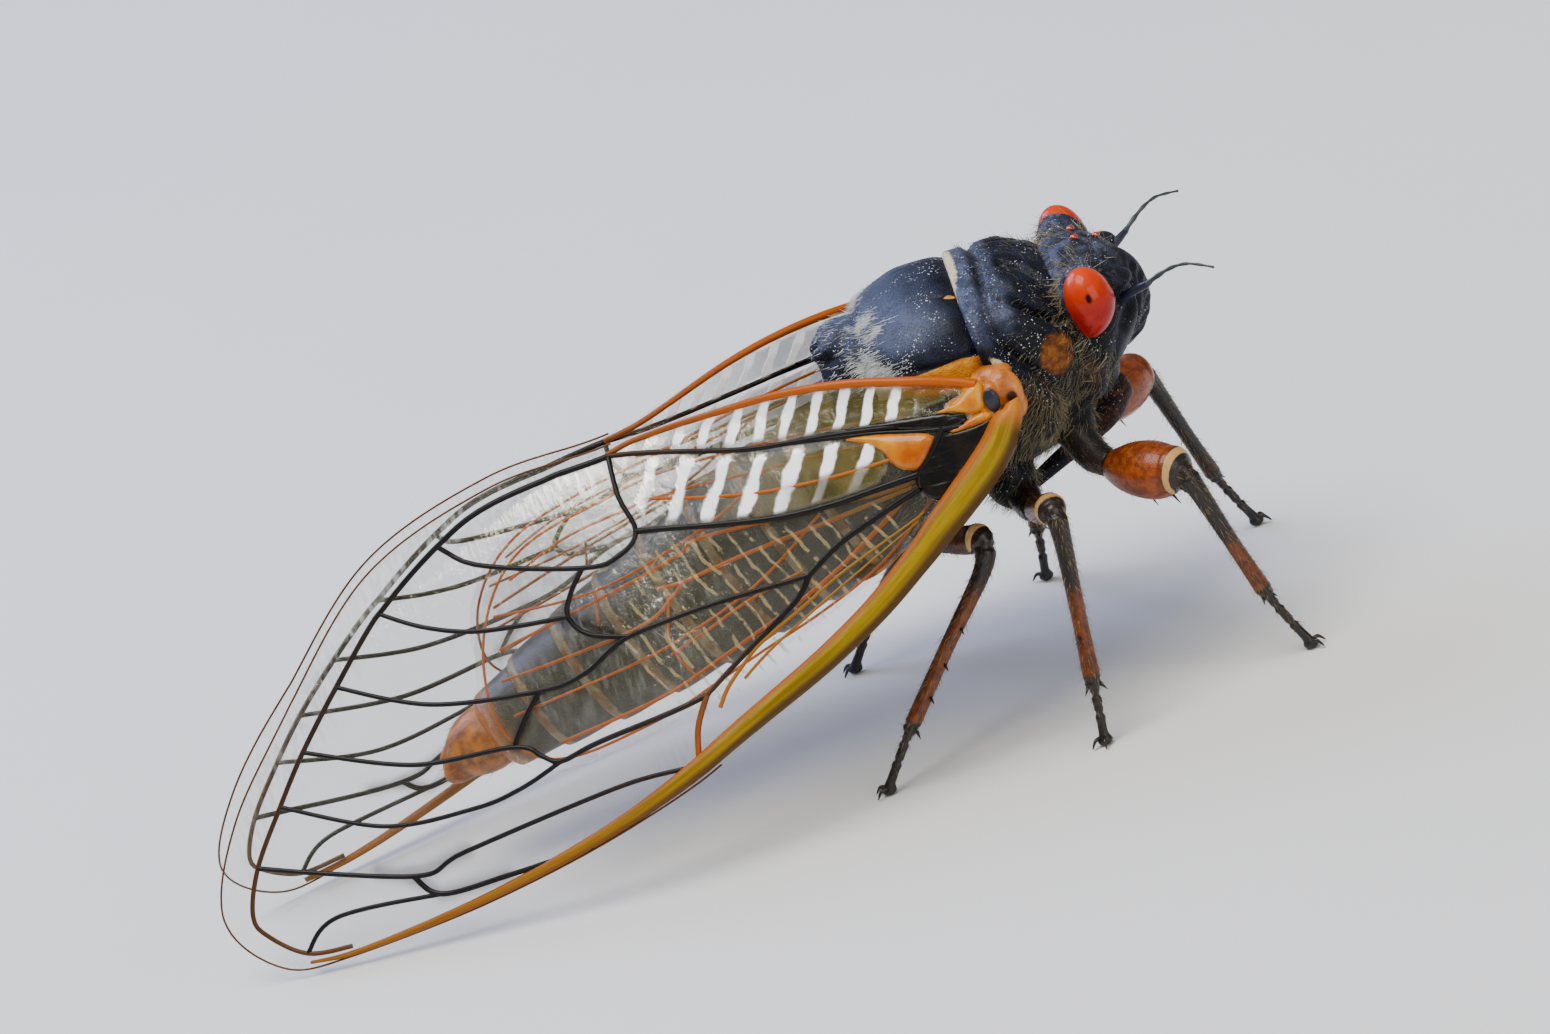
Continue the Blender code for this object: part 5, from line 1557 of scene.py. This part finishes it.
# %% [markdown]
# ## Spines and claws
# Spines are one cone set down again and again, so Geometry Nodes place them: each is a point
# with a direction and a length. The claws and the feelers are curved and tapering, so they
# reuse the tube recipe of the veins with finishes of their own. The beak is a fused skin.

# %% Spine recipe
made = horn = Finish("dark_horn", 0.4, 0.2, 0.25)
made.feed(Base_Color=made.mix(made.noise(3.0), (0.005, 0.004, 0.004), (0.030, 0.018, 0.012)),
          Roughness=0.3 + made.noise(6.0) * 0.15)
made.relief(made.noise(8.0, 3.0), 0.02)
spines = Recipe("spines", {"Width": 0.075, "Sides": 8})
cone = spines.add("GeometryNodeMeshCone", {}, {
    "Vertices": spines.ask("Sides"), "Radius Bottom": spines.ask("Width"), "Radius Top": 0.012,
    "Depth": 1.0})
tall = spines.add("ShaderNodeCombineXYZ", {}, {"X": 1.0, "Y": 1.0, "Z": spines.stored("long")})
spines.serve(spines.place_copies(
    spines.add("GeometryNodeMeshToPoints", {}, {"Mesh": spines.ask("Geometry")}), cone,
    spines.stored("way", "FLOAT_VECTOR"), tall), horn)
# place on a leg, direction and length
SPINES = (
    ((4.55, 5.25, -5.85), (0.45, 0.25, -1), 0.62), ((4.95, 5.55, -5.7), (0.6, 0.35, -0.9), 0.5),
    ((3.75, 4.35, -5.8), (0.35, 0.1, -1), 0.8), ((6.75, 6.4, -10.45), (0.8, 0.3, -0.7), 0.3),
    ((6.45, 6.55, -10.5), (-0.2, 0.8, -0.7), 0.3), ((-0.2, 8.35, -10.75), (0.6, 0.5, -0.8), 0.35),
    ((-0.68, 8.3, -10.75), (-0.6, 0.5, -0.8), 0.35), ((-0.45, 8, -10.8), (0, -0.7, -0.8), 0.3),
    ((-0.35, 8.1, -8.9), (-0.7, 0.6, -0.5), 0.32), ((-7.1, 6.45, -10.9), (0.1, 0.8, -0.7), 0.35),
    ((-7.5, 6.35, -10.85), (-0.8, 0.4, -0.6), 0.35), ((-7.2, 5.95, -10.9), (0, -0.7, -0.8), 0.35),
    ((-5.3, 6.3, -8.85), (0.1, 0.9, -0.5), 0.35), ((-6.2, 6.35, -9.85), (0.1, 0.9, -0.5), 0.35),
    ((-4.3, 6.25, -7.75), (0.1, 0.9, -0.5), 0.3),
)
roots, ways, lengths = zip(*SPINES)
seeds = bpy.data.meshes.new("spine_roots")
seeds.from_pydata(roots, [], [])
paint(seeds, way=ways, long=lengths)
set_pair("leg_spines", spines.grow(seeds), None, "leg")

# %% Claws, feelers and beak
FEELER = ((5.35, 2.45, 0.85), (5.9, 2.8, 1.08), (6.35, 3.1, 1.25))
WHIP = ((6.35, 3.1, 1.25), (6.75, 3.34, 1.48), (7.3, 3.68, 1.72), (7.8, 4.0, 1.80), (8.2, 4.25, 1.72),
        (8.75, 4.62, 1.52))


def tapered(path, thick, tone=0.0):
    """A line of x, y, z, thickness and tone; the thicknesses are spread along the path."""
    line = smooth_line(path, 0.05)
    share = np.linspace(0, 1, len(line))
    thick = np.interp(share, np.linspace(0, 1, len(thick)), thick)
    return np.column_stack((line, thick, np.full(len(line), tone)))


claws = []
for *_, ankle, toe in FEET.values():
    toe = np.array(toe)
    way = (toe - ankle) * (1, 1, 0)
    way /= max(np.linalg.norm(way), 0.05)
    across = np.array((-way[1], way[0], 0.0))
    for side in (across, -across):
        claws.append(tapered([toe + 0.08 * side, toe + 0.28 * way + 0.20 * side + (0, 0, 0.05),
                              toe + 0.50 * way + 0.30 * side - (0, 0, 0.20)], (0.085, 0.07, 0.02)))
set_pair("claws", tube_recipe("horn_tubes", horn).grow(wires(claws)), None, "leg")

made = Finish("feeler", 0.3, 0.2, 0.25)
made.feed(Base_Color=made.mix(made.mark("tone"), (0.012, 0.014, 0.034), (0.028, 0.040, 0.040)),
          Roughness=0.35 + made.noise(5.0) * 0.15)
made.relief(made.noise(9.0, 3.0), 0.02)
whip = tapered(WHIP, (0.115, 0.09, 0.075, 0.065, 0.055, 0.05, 0.045), 1.0)
whip[:, 3] *= 1 + 0.16 * np.cos(np.linspace(0, 5 * 2 * math.pi, len(whip)))
feelers = tube_recipe("feeler_tubes", made).grow(
    wires([tapered(FEELER, (0.16, 0.165, 0.16, 0.12)), whip]), Sides=14)
set_pair("feeler", feelers, made, "cuticle", ["antenna"])

beak = fused(voxel=0.07, passes=3, tubes=[
    [((4.1, 0, -3.3, 0.62), (3.6, 0, -4.0, 0.52), (2.9, 0, -4.5, 0.42), (1.0, 0, -5.3, 0.34),
      (-0.8, 0, -6.1, 0.22))],
    [((4.2, 0, -3.0, 0.42), (3.7, 0, -3.95, 0.30), (3.1, 0, -4.65, 0.16))]])
beak.sculpt(grooves=[([(4.2, 0, -4.2), (2.7, 0, -4.95), (1.0, 0, -5.7), (-0.9, 0, -6.4)], 0.07, 0.07)])
paint(beak.mesh, rust=ramp(beak.points[:, 0], 1.0, 2.0) * 0.4, fur=0.25, lie=(-0.8, 0, -0.4))
set_in_place("beak", beak.mesh, face, "cuticle", ["rostrum"])

# %% [markdown]
# ## Hair
# A cicada is hairier than it looks: silvery pile lies in the corners of the thorax, olive down
# covers the flanks, stiff bristles stand on the legs. Every hair is a thin three-sided cone
# that Geometry Nodes scatter by the density painted on the skin and lay along its painted
# direction. For baking, each hair's map is a tiny patch at its root's place on an unwrap that
# rolls the skin open round its own long axis.

# %% Hair recipe
PATCH = 0.0014                           # half the size of a hair's patch on the baking map


def hair_recipe(name, finish_name, dark, light):
    finish = Finish(finish_name, specular=0.4)
    finish.feed(Base_Color=finish.mix((finish.mark("shade") - 0.55) * 1.6, dark, light),
                Roughness=0.5 + finish.noise(4.0) * 0.2)
    made = Recipe(name, {"Density": 30.0, "Length": 0.5, "Width": 0.02, "Stand": 0.4, "Stray": 0.35,
                         "Seed": 1})
    dots = made.add("GeometryNodeDistributePointsOnFaces", {}, {
        "Mesh": made.ask("Geometry"), "Density": made.stored("fur") * made.ask("Density"),
        "Seed": made.ask("Seed")})
    normal = Signal(made, dots.socket.node.outputs["Normal"])
    lie = made.vector("NORMALIZE", made.stored("lie", "FLOAT_VECTOR"))
    stray = made.add("FunctionNodeRandomValue", {"data_type": "FLOAT_VECTOR"}, {
        0: (-1.0,) * 3, 1: (1.0,) * 3, "Seed": made.ask("Seed")})
    into = made.vector("SCALE", normal, Scale=made.vector("DOT_PRODUCT", lie, normal, out="Value"))
    way = made.vector("ADD", made.vector("SUBTRACT", lie, into),
                      made.vector("SCALE", normal, Scale=made.ask("Stand")))
    way = made.vector("ADD", way, made.vector("SCALE", stray, Scale=made.ask("Stray")))
    size = made.add("FunctionNodeRandomValue", {"data_type": "FLOAT"}, {
        2: 0.55, 3: 1.15, "Seed": made.ask("Seed")}, out=1)
    blade = made.add("GeometryNodeMeshCone", {}, {
        "Vertices": 3, "Radius Bottom": made.ask("Width"), "Radius Top": 0.002,
        "Depth": made.ask("Length")})
    roots = made.store(dots, "root", made.add("GeometryNodeInputPosition"), "FLOAT_VECTOR")
    made.serve(made.place_copies(made.store(roots, "shade", size), blade, way, size), finish)
    return made


def grow_hair(name, skin, recipe, slot, fur=None, place=set_in_place, **values):
    """Hair on a skin, with its baking map, as one piece or as a mirrored pair."""
    ground = skin.mesh.copy()
    if fur is not None:
        ground.attributes["fur"].data.foreach_set("value", fur)
    mesh = recipe.grow(ground, **values)
    count = len(mesh.vertices)
    roots = np.zeros(count * 3)
    mesh.attributes["root"].data.foreach_get("vector", roots)
    middle = skin.points.mean(axis=0)
    long_way = np.linalg.svd(skin.points[::7] - middle, full_matrices=False)[2]
    ahead, aside, above = ((roots.reshape(-1, 3) - middle) @ long_way.T).T
    unrolled = np.stack((np.arctan2(above, aside) / (2 * math.pi) * 0.98 + 0.5,
                         ahead / np.abs(ahead).max() * 0.49 + 0.5), axis=1)
    turn = np.arange(count) % 6 * math.pi / 3
    unrolled += PATCH * np.stack((np.cos(turn), np.sin(turn)), axis=1)
    corners = np.zeros(len(mesh.loops), np.int32)
    mesh.loops.foreach_get("vertex_index", corners)
    mesh.uv_layers.new(name="OFBake").data.foreach_set("uv", unrolled[corners].ravel())
    place(name, mesh, None, slot)


# %% Coats
down = hair_recipe("olive_down", "olive_hair", (0.07, 0.056, 0.024), (0.30, 0.25, 0.14))
pile = hair_recipe("silver_pile", "silver_hair", (0.50, 0.52, 0.50), (0.90, 0.92, 0.90))
wisps = hair_recipe("tan_wisps", "tan_hair", (0.25, 0.20, 0.11), (0.60, 0.52, 0.34))
bristles = hair_recipe("leg_bristles", "golden_hair", (0.05, 0.032, 0.012), (0.40, 0.26, 0.08))
fringe = (behind + 0.08 * crown) * beyond_eye
for name, skin, recipe, slot, fur, density, length, width, stand, stray, seed in (
        ("head_hair", head, down, "cuticle", None, 70.0, 0.36, 0.010, 0.7, 0.5, 3),
        ("eye_fringe", head, wisps, "cuticle", fringe, 80.0, 0.70, 0.012, 0.9, 0.8, 4),
        ("front_shield_hair", shield, down, "cuticle", None, 55.0, 0.34, 0.010, 0.5, 0.35, 5),
        ("back_shield_hair", dome, pile, "cuticle", None, 190.0, 0.36, 0.011, 0.35, 0.35, 7),
        ("flank_hair", keel, down, "cuticle", None, 60.0, 0.50, 0.012, 0.5, 0.35, 9),
        ("tail_hair", tail, down, "amber", None, 30.0, 0.35, 0.010, 0.4, 0.35, 11),
        ("beak_hair", beak, down, "cuticle", None, 25.0, 0.25, 0.009, 0.4, 0.35, 12)):
    grow_hair(name, skin, recipe, slot, fur, Density=density, Length=length, Width=width,
              Stand=stand, Stray=stray, Seed=seed)
for seed, (pair, leg) in enumerate(legs.items(), 20):
    grow_hair("leg_hair_" + pair, leg, bristles, "leg", place=set_pair,
              Density=48.0, Length=0.27, Width=0.009, Stand=0.7, Stray=0.3, Seed=seed)
